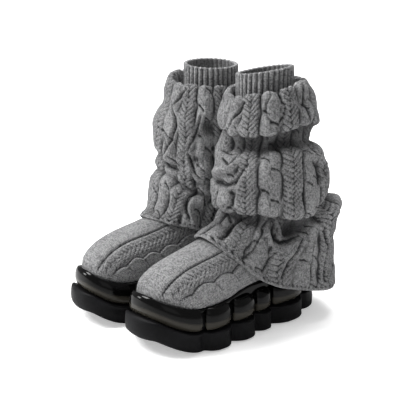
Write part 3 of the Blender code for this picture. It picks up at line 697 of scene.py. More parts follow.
@dataclass(frozen=True)
class Placement:
    """Where one shoe stands.

    Attributes:
        side: Left or right.
        ankle: Middle of the cuff in the frame, in metres.
        toe_out: Turn of the toe away from the other shoe, in degrees.
        ahead: How far the shoe stands ahead of its leg, in millimetres.
        ankle_y: Place of the ankle's middle along the shoe, in millimetres.
    """

    side: Side
    ankle: Vector
    toe_out: float
    ahead: float
    ankle_y: float = 66.0

    def world(self, points: np.ndarray) -> np.ndarray:
        """Turn and move points into the frame.

        Args:
            points: Points about the ankle, in millimetres.

        Returns:
            Their places in the frame, in metres.
        """
        turn = math.radians(self.toe_out * self.side.value)
        x, y, z = points[..., 0], points[..., 1] - self.ankle_y, points[..., 2]
        aside, back = x * math.cos(turn) - y * math.sin(turn), x * math.sin(turn) + y * math.cos(turn)
        return np.stack((aside, back, z), -1) * MM + np.array((self.ankle.x, self.ankle.y, 0.0))

    def shoe(self, points: np.ndarray) -> np.ndarray:
        """Fit points of a shoe drawn for the left side to this side.

        Args:
            points: Points of the left shoe, in millimetres.

        Returns:
            The points about this ankle.
        """
        if self.side is Side.LEFT:
            return points
        return points * np.array((-1.0, 1.0, 1.0)) - np.array((0.0, self.ahead, 0.0))

    def on_shoe(self, points: np.ndarray) -> tuple[np.ndarray, np.ndarray]:
        """Read placed points on their shoe.

        Args:
            points: Points in the frame.

        Returns:
            Each point's distance aside of the shoe's middle and its place along it, in millimetres.
        """
        turn = math.radians(self.toe_out * self.side.value)
        x, y = (points[..., 0] - self.ankle.x) / MM, (points[..., 1] - self.ankle.y) / MM
        aside = x * math.cos(turn) + y * math.sin(turn)
        down_foot = y * math.cos(turn) - x * math.sin(turn) + self.ankle_y
        return aside, down_foot + (self.ahead if self.side is Side.RIGHT else 0.0)

    def on_leg(self, radius: np.ndarray, height: np.ndarray, turn: np.ndarray) -> np.ndarray:
        """Return the points at a radius, height and turn in degrees round the ankle."""
        angle = np.radians(turn)
        return np.stack((radius * np.sin(angle), self.ankle_y - radius * np.cos(angle), height), -1)


# Meshes

@dataclass
class Shell:
    """A closed wall between rings of outer points and coarser rings of inner points, both running down.

    Attributes:
        outer: Outer points, shape (rows, columns, 3), in metres.
        inner: Inner points, with a whole share of the outer columns.
        uv: Place of each outer point in the knit, in stitches and rows; one column more than outer.
        shade: How open each outer point lies to the light.
        inner_shade: The same for all inner points, a painted shade that darkens the inside.
    """

    outer: np.ndarray
    inner: np.ndarray
    uv: np.ndarray
    shade: np.ndarray
    inner_shade: float = 0.4

    def strips(self, start: int, rows: int, count: int, flip: bool) -> np.ndarray:
        """Work out the quads between rings.

        Args:
            start: Number of the first ring's first point.
            rows: Number of rings.
            count: Points in a ring.
            flip: Whether the faces look inwards.

        Returns:
            The four corners of each quad.
        """
        upper = start + np.arange(rows - 1)[:, None] * count
        lower = upper + count
        i = np.arange(count)[None, :]
        j = (i + 1) % count
        quads = np.stack((upper + i, lower + i, lower + j, upper + j), -1).reshape(-1, 4)
        return quads[:, ::-1] if flip else quads

    def rim(self, outer: int, count: int, inner: int, inner_count: int, top: bool) -> list[tuple[int, ...]]:
        """Work out the faces of the wall's edge.

        Args:
            outer: Number of the outer ring's first point.
            count: Points in the outer ring.
            inner: Number of the inner ring's first point.
            inner_count: Points in the inner ring.
            top: Whether it is the upper edge.

        Returns:
            The three corners of each face.
        """
        share = count // inner_count
        half = share // 2
        faces: list[tuple[int, ...]] = []
        for k in range(inner_count):
            a, b = inner + k, inner + (k + 1) % inner_count
            chain = [outer + (k * share + s) % count for s in range(share + 1)]
            fan = [(chain[s], chain[s + 1], a) for s in range(half)]
            fan += [(chain[s], chain[s + 1], b) for s in range(half, share)]
            fan.append((chain[half], b, a))
            faces += fan if top else [face[::-1] for face in fan]
        return faces

    def build(self, name: str) -> bpy.types.Object:
        """Make the mesh.

        Args:
            name: Name of the piece.

        Returns:
            The new object, smooth, with its UV map and shade attribute.
        """
        rows, count = self.outer.shape[:2]
        inner_rows, inner_count = self.inner.shape[:2]
        inner_start, last_ring = rows * count, (rows - 1) * count
        outside = self.strips(0, rows, count, False)
        faces = outside.tolist()
        faces += self.strips(inner_start, inner_rows, inner_count, True).tolist()
        faces += self.rim(0, count, inner_start, inner_count, True)
        inner_last = inner_start + (inner_rows - 1) * inner_count
        faces += self.rim(last_ring, count, inner_last, inner_count, False)
        points = np.concatenate((self.outer.reshape(-1, 3), self.inner.reshape(-1, 3)))
        mesh = bpy.data.meshes.new(name)
        mesh.from_pydata(points.tolist(), [], faces)
        coords = np.zeros((len(mesh.loops), 2), np.float32)
        corners = [self.uv[:-1, :-1], self.uv[1:, :-1], self.uv[1:, 1:], self.uv[:-1, 1:]]
        coords[:len(outside) * 4] = np.stack(corners, 2).reshape(-1, 2)
        mesh.uv_layers.new(name="knit").data.foreach_set("uv", coords.ravel())
        shades = np.full(len(points), self.inner_shade, np.float32)
        shades[:inner_start] = self.shade.ravel()
        mesh.attributes.new("shade", "FLOAT", "POINT").data.foreach_set("value", shades)
        mesh.shade_smooth()
        mesh.update()
        piece = bpy.data.objects.new(name, mesh)
        bpy.context.scene.collection.objects.link(piece)
        return piece


# Shader maths

class Value:
    """A socket's value in an expression that adds its own nodes."""

    def __init__(self, shader: Shader, socket: bpy.types.NodeSocket) -> None:
        """Wrap a socket of a shader."""
        self.shader = shader
        self.socket = socket

    def math(self, operation: str, *others: Value | float) -> Value:
        """Return the result of a Math node on this value and others."""
        return self.shader.node("ShaderNodeMath", {"operation": operation}, [self, *others])

    def __add__(self, other: Value | float) -> Value:
        """Return the sum."""
        return self.math("ADD", other)

    __radd__ = __add__

    def __sub__(self, other: Value | float) -> Value:
        """Return the difference."""
        return self.math("SUBTRACT", other)

    def __rsub__(self, other: float) -> Value:
        """Return a number less this value."""
        return self.shader.node("ShaderNodeMath", {"operation": "SUBTRACT"}, [other, self])

    def __mul__(self, other: Value | float) -> Value:
        """Return the product."""
        return self.math("MULTIPLY", other)

    __rmul__ = __mul__

    def abs(self) -> Value:
        """Return the size without its sign."""
        return self.math("ABSOLUTE")

    def fraction(self) -> Value:
        """Return the part after the point."""
        return self.math("FRACT")

    def sine(self) -> Value:
        """Return the sine."""
        return self.math("SINE")

    def clamp(self) -> Value:
        """Return the value cut to 0 to 1."""
        return self.math("MAXIMUM", 0.0).math("MINIMUM", 1.0)

    def step(self, low: float, high: float) -> Value:
        """Return an eased rise from 0 to 1 between two values."""
        inputs = {"Value": self, "From Min": low, "From Max": high}
        return self.shader.node("ShaderNodeMapRange", {"interpolation_type": "SMOOTHSTEP"}, inputs)

    def output(self, number: int) -> Value:
        """Return another output of this value's node."""
        return Value(self.shader, self.socket.node.outputs[number])


class Shader:
    """The node tree of one material, written as expressions."""

    def __init__(self, name: str) -> None:
        """Start a Principled material.

        Args:
            name: Name of the material.
        """
        self.material = bpy.data.materials.new(name)
        self.material.use_nodes = True
        self.tree = self.material.node_tree
        self.principled = self.tree.nodes["Principled BSDF"]

    def node(self, kind: str, settings: dict[str, Any], inputs: Any = (), output: int | str = 0) -> Value:
        """Add a node.

        Args:
            kind: The node's type.
            settings: Its properties, set before its sockets.
            inputs: Values or links of its sockets, in order or by name.
            output: Number or name of the socket to return.

        Returns:
            The output as a value.
        """
        made = self.tree.nodes.new(kind)
        for key, setting in settings.items():
            setattr(made, key, setting)
        for key, value in inputs.items() if isinstance(inputs, dict) else enumerate(inputs):
            self.feed(made.inputs[key], value)
        return Value(self, made.outputs[output])

    def feed(self, socket: bpy.types.NodeSocket, value: Any) -> None:
        """Link a value into a socket, or set the socket's own value.

        Args:
            socket: The socket.
            value: A value of this shader, a number or a colour.
        """
        if isinstance(value, Value):
            self.tree.links.new(value.socket, socket)
        else:
            socket.default_value = value

    def set(self, **sockets: Any) -> None:
        """Set sockets of the Principled shader, an underscore standing for a space."""
        for name, value in sockets.items():
            self.feed(self.principled.inputs[name.replace("_", " ")], value)

    def object_coords(self) -> Value:
        """Return the place on the piece."""
        return self.node("ShaderNodeTexCoord", {}, (), "Object")

    def attribute(self, name: str) -> Value:
        """Return one of the mesh's own attributes."""
        return self.node("ShaderNodeAttribute", {"attribute_name": name}, (), "Fac")

    def noise(self, scale: float, detail: float) -> Value:
        """Return a noise over the piece."""
        inputs = {"Vector": self.object_coords(), "Scale": scale, "Detail": detail}
        return self.node("ShaderNodeTexNoise", {}, inputs)

    def mix(self, factor: Value, first: Any, second: Any) -> Value:
        """Return a mix of two colours, each a value or three numbers."""
        ends = [colour if isinstance(colour, Value) else (*colour, 1.0) for colour in (first, second)]
        return self.node("ShaderNodeMix", {"data_type": "RGBA"}, {0: factor, 6: ends[0], 7: ends[1]}, 2)

    def bump(self, height: Value, distance: float, over: dict[str, Value] | None = None) -> Value:
        """Return the normal of a height in a distance of metres, over another Normal if one is given."""
        return self.node("ShaderNodeBump", {}, {"Height": height, "Distance": distance, **(over or {})})


Colour = tuple[float, float, float]


class Mottle(NamedTuple):
    """One size of mottling: its noise's scale and detail, and its share of the tone."""

    scale: float
    detail: float
    share: float = 1.0

    def on(self, shader: Shader) -> Value:
        """Return the noise in a shader."""
        return shader.noise(self.scale, self.detail)


@dataclass(frozen=True)
class KnitFinish:
    """Grey heather yarn: dark and pale fibres, V stitches with painted shade, painted shade in the gutters and
    hollows, and a soft nap.

    Attributes:
        dark, pale, crevice: Colour of the fibres, and the painted shade of the cloth deep in the knit and its
            folds.
        tone_range: Mottling at which the yarn is darkest and palest.
        stitch_slant, stitch_corner: How steep the arms of a V are, and how sharply they end at its edge.
        stitch_bump, fuzz_bump: Height of the stitches and of the fuzz, in metres.
    """

    dark: Colour = (0.052, 0.053, 0.056)
    pale: Colour = (0.57, 0.57, 0.575)
    painted_crevice_shade: Colour = (0.022, 0.022, 0.024)
    fibre: Mottle = Mottle(1000.0, 4.0, 0.32)
    heather: Mottle = Mottle(420.0, 3.0, 0.44)
    fleck: Mottle = Mottle(190.0, 2.0, 0.15)
    broad: Mottle = Mottle(24.0, 2.0, 0.09)
    tone_range: tuple[float, float] = (0.37, 0.64)
    stitch_share: float = 0.32
    stitch_slant: float = 1.1
    stitch_corner: float = 6.0
    stitch_bump: float = 0.0009
    fuzz_bump: float = 0.0012
    roughness: float = 0.95
    sheen: float = 0.12
    sheen_roughness: float = 0.5
    specular: float = 0.1

    def stitches(self, shader: Shader) -> Value:
        """Work out the V stitches, counted along the UV map knit.

        Args:
            shader: The shader that they are added to.

        Returns:
            Their height.
        """
        across = shader.node("ShaderNodeSeparateXYZ", {}, [shader.node("ShaderNodeUVMap", {"uv_map": "knit"})])
        from_middle = (across.fraction() - 0.5).abs()
        rise = (across.output(1) + from_middle * self.stitch_slant).fraction()
        corner = (from_middle * 2.0 - 1.0).abs().math("POWER", self.stitch_corner)
        return (rise * math.pi).sine() * (1.0 - corner)

    def build(self, name: str) -> bpy.types.Material:
        """Make the material.

        Args:
            name: Name of the material.

        Returns:
            The material, which reads the UV map knit and the attribute shade.
        """
        shader = Shader(name)
        stitch = self.stitches(shader)
        fibre, heather = self.fibre.on(shader), self.heather.on(shader)
        tone = fibre * self.fibre.share + heather * self.heather.share
        for mottle in (self.fleck, self.broad):
            tone = tone + mottle.on(shader) * mottle.share
        # Painted shade: the stitches' height lightens and darkens the colour, over the yarn's own mottled tone.
        tone_and_stitch_shade = (tone.step(*self.tone_range) * (1 - self.stitch_share) + stitch * self.stitch_share).clamp()
        yarn = shader.mix(tone_and_stitch_shade, self.dark, self.pale)
        fuzz = shader.bump(fibre * 0.5 + heather * 0.5, self.fuzz_bump)
        # Painted shade: the shade attribute darkens the yarn's colour towards near black in hollows, crevices
        # and under folds.
        shader.set(Base_Color=shader.mix(shader.attribute("shade"), self.painted_crevice_shade, yarn),
                   Roughness=self.roughness, Specular_IOR_Level=self.specular,
                   Sheen_Weight=self.sheen, Sheen_Roughness=self.sheen_roughness,
                   Normal=shader.bump(stitch, self.stitch_bump, {"Normal": fuzz}))
        return shader.material


@dataclass(frozen=True)
class GlossFinish:
    """Smoky black moulded plastic with a clear gloss, deep black at the top, with a painted reflection of the
    floor as a smoky band below.
    """

    deep: Colour = (0.002, 0.002, 0.002)
    smoke: Colour = (0.036, 0.033, 0.027)
    reflection_top: float = 0.38
    reflection_fade: float = 0.14
    cloud: Mottle = Mottle(45.0, 2.0, 0.1)
    scuff: Mottle = Mottle(240.0, 4.0, 0.06)
    scuff_range: tuple[float, float] = (0.45, 0.75)
    roughness: float = 0.12
    specular: float = 0.14

    def build(self, name: str) -> bpy.types.Material:
        """Make the material.

        Args:
            name: Name of the material.

        Returns:
            The material, which reads the attribute rise.
        """
        shader = Shader(name)
        level = shader.attribute("rise") + self.cloud.on(shader) * self.cloud.share
        scuff = self.scuff.on(shader).step(*self.scuff_range) * self.scuff.share
        # Painted reflection: the lower part of each pod, by its rise, is coloured as the floor's reflection;
        # the top stays deep black.
        dark = level.step(self.reflection_top, self.reflection_top + self.reflection_fade)
        shader.set(Base_Color=shader.mix(dark, self.smoke, self.deep), Roughness=self.roughness + scuff,
                   Specular_IOR_Level=self.specular)
        return shader.material


@dataclass(frozen=True)
class RubberFinish:
    """Matt black foamed rubber, a little greyer and rougher where it is rubbed."""

    deep: Colour = (0.004, 0.004, 0.0045)
    worn: Colour = (0.008, 0.008, 0.009)
    patch: Mottle = Mottle(35.0, 3.0, 0.12)
    patch_range: tuple[float, float] = (0.4, 0.7)
    grain: Mottle = Mottle(1400.0, 3.0)
    grain_bump: float = 0.00025
    roughness: float = 0.42
    specular: float = 0.08

    def build(self, name: str) -> bpy.types.Material:
        """Make the material.

        Args:
            name: Name of the material.

        Returns:
            The material.
        """
        shader = Shader(name)
        patch = self.patch.on(shader).step(*self.patch_range)
        shader.set(Base_Color=shader.mix(patch, self.deep, self.worn), Specular_IOR_Level=self.specular,
                   Roughness=self.roughness + patch * self.patch.share,
                   Normal=shader.bump(self.grain.on(shader), self.grain_bump))
        return shader.material


# The foot's knit

@dataclass(frozen=True)
class FootKnit:
    """The relief of the foot, in millimetres: a plain panel on top, a plait, and cloth with a scalloped edge.

    Attributes:
        wander, drift: How far the panel's edge and the scallops swing out of line.
        band_share, band_gap: Share of the plait's relief that shows, and its distance from the panel.
        line_depth: Depth of the groove along the panel's edge.
        step_height, lip_height, foot_depth: The step up to the scallops, its raised edge, and the groove below.
        joint_depth: The grooves between one scallop and the next.
    """

    panel_half: float = 29.0
    panel_height: float = 1.6
    panel_corner: int = 8
    wander: float = 1.3
    wander_length: float = 17.0
    wander_phase: float = 0.6
    bead_row: float = 6.4
    bead_column: float = 8.8
    bead_margin: float = 4.0
    panel_beads: float = 0.22
    band_beads: float = 0.35
    band_share: float = 0.6
    band_gap: float = 2.5
    line_depth: float = 1.7
    line_half: float = 1.5
    line_gap: float = 0.6
    scallops_from: float = 63.0
    scallop_pitch: float = 29.0
    scallop_depth: float = 4.6
    scallop_phase: float = 9.0
    drift: float = 3.5
    drift_length: float = 21.0
    step_height: float = 2.0
    step_run: float = 1.6
    lip_height: float = 0.7
    lip_half: float = 1.2
    lip_at: float = 1.6
    joint_depth: float = 0.9
    joint_half: float = 1.2
    joint_slant: float = 0.022
    joint_start: float = 2.0
    joint_end: float = 19.0
    joint_fade: float = 5.0
    foot_depth: float = 0.6
    foot_half: float = 1.1
    foot_at: float = -1.3
    ground: float = 0.4

    def beads(self, across: np.ndarray, y: np.ndarray) -> np.ndarray:
        """Return the small beads of the knit, from -1 to 1."""
        row, column = y / self.bead_row, across / self.bead_column
        return np.cos(2 * math.pi * (row + column)) * np.cos(2 * math.pi * (row - column))

    def scallops(self, past: np.ndarray, lobe: np.ndarray) -> np.ndarray:
        """Work out the height of the scalloped cloth above its ground.

        Args:
            past: Distance of each point past the scalloped edge.
            lobe: Number of the scallop at each point, with the share of the way on.

        Returns:
            The height at each point.
        """
        cloth = self.step_height * smooth(past / self.step_run + 0.5)
        cloth = cloth + self.lip_height * peak(past - self.lip_at, self.lip_half)
        leaning = lobe - self.joint_slant * past
        joint = peak((leaning - np.round(leaning)) * self.scallop_pitch, self.joint_half)
        ends = smooth((self.joint_end - past) / self.joint_fade)
        cloth -= self.joint_depth * joint * smooth(past / self.joint_start) * ends
        cloth -= self.foot_depth * peak(past - self.foot_at, self.foot_half)
        return cloth

    def height(self, aside: np.ndarray, y: np.ndarray) -> np.ndarray:
        """Work out the height of the foot's knit above the plain skin.

        Args:
            aside: Distance of each point from the middle of the foot, over the cloth.
            y: Place of each point along the foot.

        Returns:
            The height at each point.
        """
        across = np.abs(aside) + self.wander * np.sin(y / self.wander_length + self.wander_phase)
        beads = self.beads(across, y)
        panel = self.panel_height * np.sqrt(np.clip(1 - (across / self.panel_half) ** self.panel_corner, 0, 1))
        panel += self.panel_beads * beads * (across < self.panel_half - self.bead_margin)
        from_plait = across - self.panel_half - KNIT.plait_half - self.band_gap
        band = self.band_share * KNIT.plait(from_plait, y) + self.band_beads * beads
        line = peak(across - self.panel_half - self.line_gap, self.line_half)
        drift = self.drift * np.sin(y / self.drift_length) * np.sign(aside)
        lobe = (y + self.scallop_phase + drift) / self.scallop_pitch
        past = across - self.scallops_from + self.scallop_depth * np.abs(np.sin(math.pi * lobe))
        inside = np.where(past < 0, np.maximum(panel, band), self.ground)
        return inside + self.scallops(past, lobe) - self.line_depth * line


@dataclass(frozen=True)
class FootCloth:
    """The knit over the foot, from the rand up to a round hole at the ankle, drawn for the left shoe.

    Attributes:
        plan: Rows of y, and the x of the outer and of the inner side there.
        side: Rows of y, and the height of the lower edge and of the ridge there.
        collar_start: Share of the way up from which the skin rises to the ankle hole.
        bend_ys, bend_in, bend_back: Where the rings bend inwards, by what share, and how far back.
        dome_fullness, dome_widening: Roundness of the section, and the length down its sides.
    """

    plan: tuple[tuple[float, float, float], ...] = (
        (-136.0, 0.0, -16.0),
        (-132.0, 14.0, -31.0),
        (-122.0, 27.0, -41.0),
        (-106.0, 38.0, -47.0),
        (-80.0, 46.0, -49.0),
        (-45.0, 47.0, -47.5),
        (0.0, 44.5, -43.5),
        (50.0, 42.0, -40.5),
        (95.0, 39.5, -36.0),
        (122.0, 32.0, -28.0),
        (134.0, 18.0, -16.0),
        (137.5, 4.0, -4.0),
    )
    side: tuple[tuple[float, float, float], ...] = (
        (-136.0, 55.0, 68.0),
        (-130.0, 55.0, 86.0),
        (-118.0, 55.0, 97.0),
        (-96.0, 55.0, 107.0),
        (-70.0, 55.5, 114.0),
        (-45.0, 58.0, 120.0),
        (-20.0, 63.5, 126.0),
        (10.0, 66.0, 134.0),
        (40.0, 67.0, 150.0),
        (90.0, 68.0, 150.0),
        (120.0, 68.0, 120.0),
        (134.0, 68.0, 94.0),
        (137.5, 68.0, 74.0),
    )
    plan_steps: int = 12
    ankle_y: float = 66.0
    collar_radius: float = 34.0
    collar_z: float = 150.0
    collar_start: float = 0.7
    bend_ys: tuple[float, float] = (-60.0, 40.0)
    bend_in: tuple[float, float] = (0.6, 0.93)
    bend_back: float = 0.22
    dome_fullness: float = 2.4
    dome_widening: float = 0.62
    toe_spring: float = 16.0
    spring_start: float = -90.0
    spring_run: float = 48.0
    spring_limit: float = 1.1
    wall: float = 3.0
    seat_gap: float = 1.1
    columns: int = 384
    rows: int = 150
    row_bunch: float = 0.8
    inner_share: int = 4
    edge_fade: float = 0.05
    stitch: float = 2.5
    stitch_row: float = 2.1
    knit: FootKnit = FootKnit()

    def outline(self) -> np.ndarray:
        """Draw the plan of the lower edge, from the heel along the outer side.

        Returns:
            Rows of the distance along the edge, x and y.
        """
        outer = [(half, y) for y, half, _ in reversed(self.plan)]
        inner = [(half, y) for y, _, half in self.plan]
        corners = np.array(outer + inner)
        points = []
        for i in range(len(corners)):
            four = np.array([corners[(i + k - 1) % len(corners)] for k in range(4)])
            points += [spline(four, 1, step / self.plan_steps) for step in range(self.plan_steps)]
        closed = np.array(points + points[:1])
        runs = np.concatenate(([0.0], np.cumsum(np.linalg.norm(np.diff(closed, axis=0), axis=1))))
        return np.column_stack((runs, closed))

    def spring(self, y: np.ndarray) -> np.ndarray:
        """Return how far the toe of the sole turns up from the floor."""
        rise = np.clip((self.spring_start - y) / self.spring_run, 0.0, self.spring_limit)
        return self.toe_spring * rise * rise

    def edge(self, y: np.ndarray) -> np.ndarray:
        """Return the height of the lower edge."""
        return along([row[0] for row in self.side], [row[1] for row in self.side], y)

    def ridge(self, y: np.ndarray) -> np.ndarray:
        """Return the height of the ridge."""
        return along([row[0] for row in self.side], [row[2] for row in self.side], y)

    def sides(self, outline: np.ndarray, y: np.ndarray) -> tuple[np.ndarray, np.ndarray]:
        """Read the plan at places along the foot.

        Args:
            outline: The plan, as outline gives it.
            y: The places.

        Returns:
            The x of the outer and of the inner side at each place.
        """
        turn = int(np.argmin(outline[:, 2]))
        outer, inner = outline[:turn + 1], outline[turn:]
        return (np.maximum(np.interp(y, outer[::-1, 2], outer[::-1, 1]), 0.0),
                np.minimum(np.interp(y, inner[:, 2], inner[:, 1]), 0.0))

    def surface(self, columns: int, shares: np.ndarray) -> tuple[np.ndarray, np.ndarray]:
        """Work out the plain outer skin.

        Args:
            columns: Points in each ring.
            shares: Share of the way from the lower edge to the ankle hole, for each ring.

        Returns:
            The skin, shape (rings, columns, 3), and the distance of each point from the middle of the foot.
        """
        outline = self.outline()
        part = 1 - np.arange(columns) / columns
        run = part * outline[-1, 0]
        low = np.stack([np.interp(run, outline[:, 0], outline[:, k]) for k in (1, 2)], -1)
        angle = math.pi * (1 - 2 * part)
        high_y = self.ankle_y - self.collar_radius * np.cos(angle)
        high = np.stack((self.collar_radius * np.sin(angle), high_y), -1)
        bend_in = along(self.bend_ys, self.bend_in, low[:, 1])
        bend = np.stack((low[:, 0] * bend_in, low[:, 1] + (high[:, 1] - low[:, 1]) * self.bend_back), -1)
        s = shares[:, None, None]
        first = low + (bend - low) * s
        plan = first + ((bend + (high - bend) * s) - first) * s
        x, y = plan[..., 0], plan[..., 1]
        outer, inner = self.sides(outline, y)
        middle, half = (outer + inner) / 2, np.maximum((outer - inner) / 2, 1.0)
        across = np.minimum(np.abs(x - middle) / half, 1.0)
        edge = self.edge(y) + self.spring(y)
        ridge = np.maximum(self.ridge(y), edge)
        dome = edge + (ridge - edge) * np.sqrt(1 - across ** self.dome_fullness)
        dome[shares == 0.0] = (edge + self.seat_gap)[shares == 0.0]
        blend = np.maximum((shares - self.collar_start) / (1 - self.collar_start), 0.0)[:, None] ** 2
        height = dome + (self.collar_z - dome) * blend
        aside = np.sign(x - middle) * (np.abs(x - middle) + self.dome_widening * (ridge - dome))
        return np.stack((x, y, height), -1), aside

    def build(self, placement: Placement) -> tuple[bpy.types.Object, BVHTree]:
        """Make the foot.

        Args:
            placement: Where the shoe stands.

        Returns:
            The piece, and its skin about the ankle, which the leg's skirt is set against.
        """
        shares = np.linspace(0.0, 1.0, self.rows) ** (1 / self.row_bunch)
        skin, aside = self.surface(self.columns, shares)
        normals = grid_normals(skin, False)
        for row in (0, -1):
            normals[row, :, 2] = 0.0
            normals[row] = unit(normals[row])
        fade = smooth(shares / self.edge_fade) * smooth((1 - shares) / self.edge_fade)
        relief = self.knit.height(aside, skin[..., 1]) * fade[:, None]
        outer = skin + normals * relief[..., None]
        inside = (skin - normals * self.wall)[:, ::self.inner_share]
        inner = np.concatenate((inside[::self.inner_share][:-1], inside[-1:]))
        uv = np.stack((aside / self.stitch, skin[..., 1] / self.stitch_row), -1)
        uv = np.concatenate((uv, uv[:, :1]), 1)
        # Painted shade in the hollows of the foot's knit.
        shade = shading(relief)
        if placement.side is Side.RIGHT:
            outer, inner, shade = (np.roll(grid[:, ::-1], 1, 1) for grid in (outer, inner, shade))
            uv = uv[:, ::-1]
        outer, inner = placement.shoe(outer)[::-1], placement.shoe(inner)[::-1]
        shell = Shell(placement.world(outer), placement.world(inner), uv[::-1], shade[::-1])
        piece = shell.build(f"foot_knit_{placement.side.suffix}")
        quads = shell.strips(0, len(outer), outer.shape[1], False)
        return piece, BVHTree.FromPolygons(outer.reshape(-1, 3).tolist(), quads.tolist())


# The leg's knit

class Wave(NamedTuple):
    """One slow wave of the slack cloth: waves round the leg, length down it, height and phase in radians."""

    times: int
    length: float
    size: float
    phase: float


class Grid(NamedTuple):
    """The points of a leg's cloth.

    Attributes:
        turns: Turn of each column, in degrees.
        places: Place of each row down the fold lines.
        lengths: Distance of each point down the cloth, in millimetres.
    """

    turns: np.ndarray
    places: np.ndarray
    lengths: np.ndarray

    def down_to(self, turn: float, place: float) -> float:
        """Return the distance down the cloth to a place at one turn."""
        column = int(np.argmin(np.abs(wrapped(self.turns - turn))))
        return np.interp(place, self.places, self.lengths[:, column])


@dataclass(frozen=True)
class LegCloth:
    """The slouched tube of one leg, from the cuff's seam to the hem on the instep.

    Attributes:
        spacing, middle_gap, press_softness: How the two legs flatten where they meet.
        lean_degrees, lean_places: How far the knit leans to the toe, and where above the hem.
        skirt_top, clearances: Height of the skirt, and its clearance on the left and on the right foot.
        mm_a_degree: Width of the flat cloth for a degree of turn.
        crease_ends: Least share of a crease's depth, and the share of its length that it grows over.
        bank_share, bank_at, bank_half: The low bank along a trough, in trough widths.
        fold_flattening: How the knit's relief is lost on sharp folds.
        hem_relief: Share of the relief that is left at the hem.
    """

    placement: Placement
    shape: LegShape
    spacing: float = 109.4
    middle_gap: float = 3.1
    press_softness: float = 9.0
    wall: float = 2.5
    cable_turn: float = 49.5
    knit_repeats: int = 8
    columns: int = 384
    coarse_columns: int = 48
    row_pitch: float = 1.36
    least_rows: int = 4
    inner_share: int = 4
    lean_degrees: float = 15.0
    lean_places: tuple[float, float] = (3.2, 0.3)
    skirt_top: float = 150.0
    clearances: tuple[float, float] = (2.9, 1.9)
    push_rounds: int = 4
    mm_a_degree: float = 1.25
    stitch_degrees: float = 1.5
    stitch_row: float = 1.7
    waves: tuple[Wave, ...] = (
        Wave(2, 83.0, 0.8, 0.4),
        Wave(3, -61.0, 0.8, 1.9),
        Wave(4, 47.0, 0.7, 3.3),
        Wave(5, -39.0, 0.5, 5.0),
        Wave(7, 33.0, 0.45, 0.9),
        Wave(9, -27.0, 0.35, 2.6),
    )
    crease_ends: tuple[float, float] = (0.25, 0.2)
    bank_share: float = 0.35
    bank_at: float = 2.2
    bank_half: float = 1.4
    lift_reach: float = 5.0
    fold_flattening: Ramp = Ramp(2.4, 3.2, 0.55)
    seam_fade: float = 5.0
    hem_fade: float = 5.0
    hem_relief: float = 0.35
    drape_fade: float = 12.0
    hem_stitches: int = 80
    hem_line: float = 4.4
    hem_half: float = 1.5
    hem_depth: float = 1.2
    hem_shade: float = 0.95
    hem_round: float = 0.9
    light_blur: int = 3

    def keys(self, turns: np.ndarray) -> np.ndarray:
        """Read each fold line at each turn.

        Args:
            turns: Turns in degrees.

        Returns:
            Points (radius, height), shape (lines, turns, 2).
        """
        heights = self.around(np.array([fold.heights for fold in self.shape.folds], float), turns)
        radii = self.around(np.array([fold.radii for fold in self.shape.folds], float), turns)
        return np.stack((self.pressed(radii, turns), heights), -1)

    def around(self, values: np.ndarray, turns: np.ndarray) -> np.ndarray:
        """Read each fold line's row of values, smooth and closed round the leg.

        Args:
            values: Values at FOLD_TURNS, a row for each line.
            turns: Turns to read, in degrees.

        Returns:
            A row of values for each line.
        """
        keys = np.array(FOLD_TURNS)
        count = len(keys)
        place = (turns - keys[0]) % 360.0 + keys[0]
        i = np.searchsorted(keys, place, side="right") - 1
        ring = np.arange(-1, count + 2)
        ring_keys = keys[ring % count] + 360.0 * (ring // count)
        ring_values = values[:, ring % count]
        slopes = (ring_values[:, 2:] - ring_values[:, :-2]) / (ring_keys[2:] - ring_keys[:-2])
        run = ring_keys[i + 2] - ring_keys[i + 1]
        share = (place - ring_keys[i + 1]) / run
        return hermite(ring_values[:, i + 1], ring_values[:, i + 2], slopes[:, i], slopes[:, i + 1], run, share)

    def pressed(self, radii: np.ndarray, turns: np.ndarray) -> np.ndarray:
        """Flatten the leg against the other one.

        Args:
            radii: Radius of each fold line at each turn.
            turns: Turns in degrees.

        Returns:
            The radii, less where they would reach past the middle.
        """
        angle = np.radians(turns)
        inward = -self.placement.side.value * radii * np.sin(angle)
        behind = -radii * np.cos(angle)
        toe_out = math.radians(self.placement.toe_out)
        limit = (self.spacing / 2 - self.middle_gap) / math.cos(toe_out) - behind * math.tan(toe_out)
        excess = np.maximum(inward - (limit - self.press_softness), 0.0)
        flat = limit - self.press_softness * np.exp(-excess / self.press_softness)
        return np.where(excess > 0, radii * flat / np.where(excess > 0, inward, 1.0), radii)

    def profile(self, turns: np.ndarray, rows: Sequence[int]) -> tuple[np.ndarray, np.ndarray]:
        """Work out the cloth's section at each turn.

        Args:
            turns: Turns in degrees.
            rows: Rows in each stretch between fold lines.

        Returns:
            Points (radius, height), shape (rows, turns, 2), and the place of each row down the fold lines.
        """
        keys = self.keys(turns)
        points, places = [], []
        for i, count in enumerate(rows):
            for row in range(count):
                points.append(spline(keys, i, row / count))
                places.append(i + row / count)
        points.append(keys[-1])
        places.append(len(keys) - 1.0)
        return np.array(points), np.array(places)

    def outward(self, profile: np.ndarray) -> np.ndarray:
        """Return the direction out of the cloth in each section, as (radius, height)."""
        step = unit(np.gradient(profile, axis=0))
        return np.stack((-step[..., 1], step[..., 0]), -1)

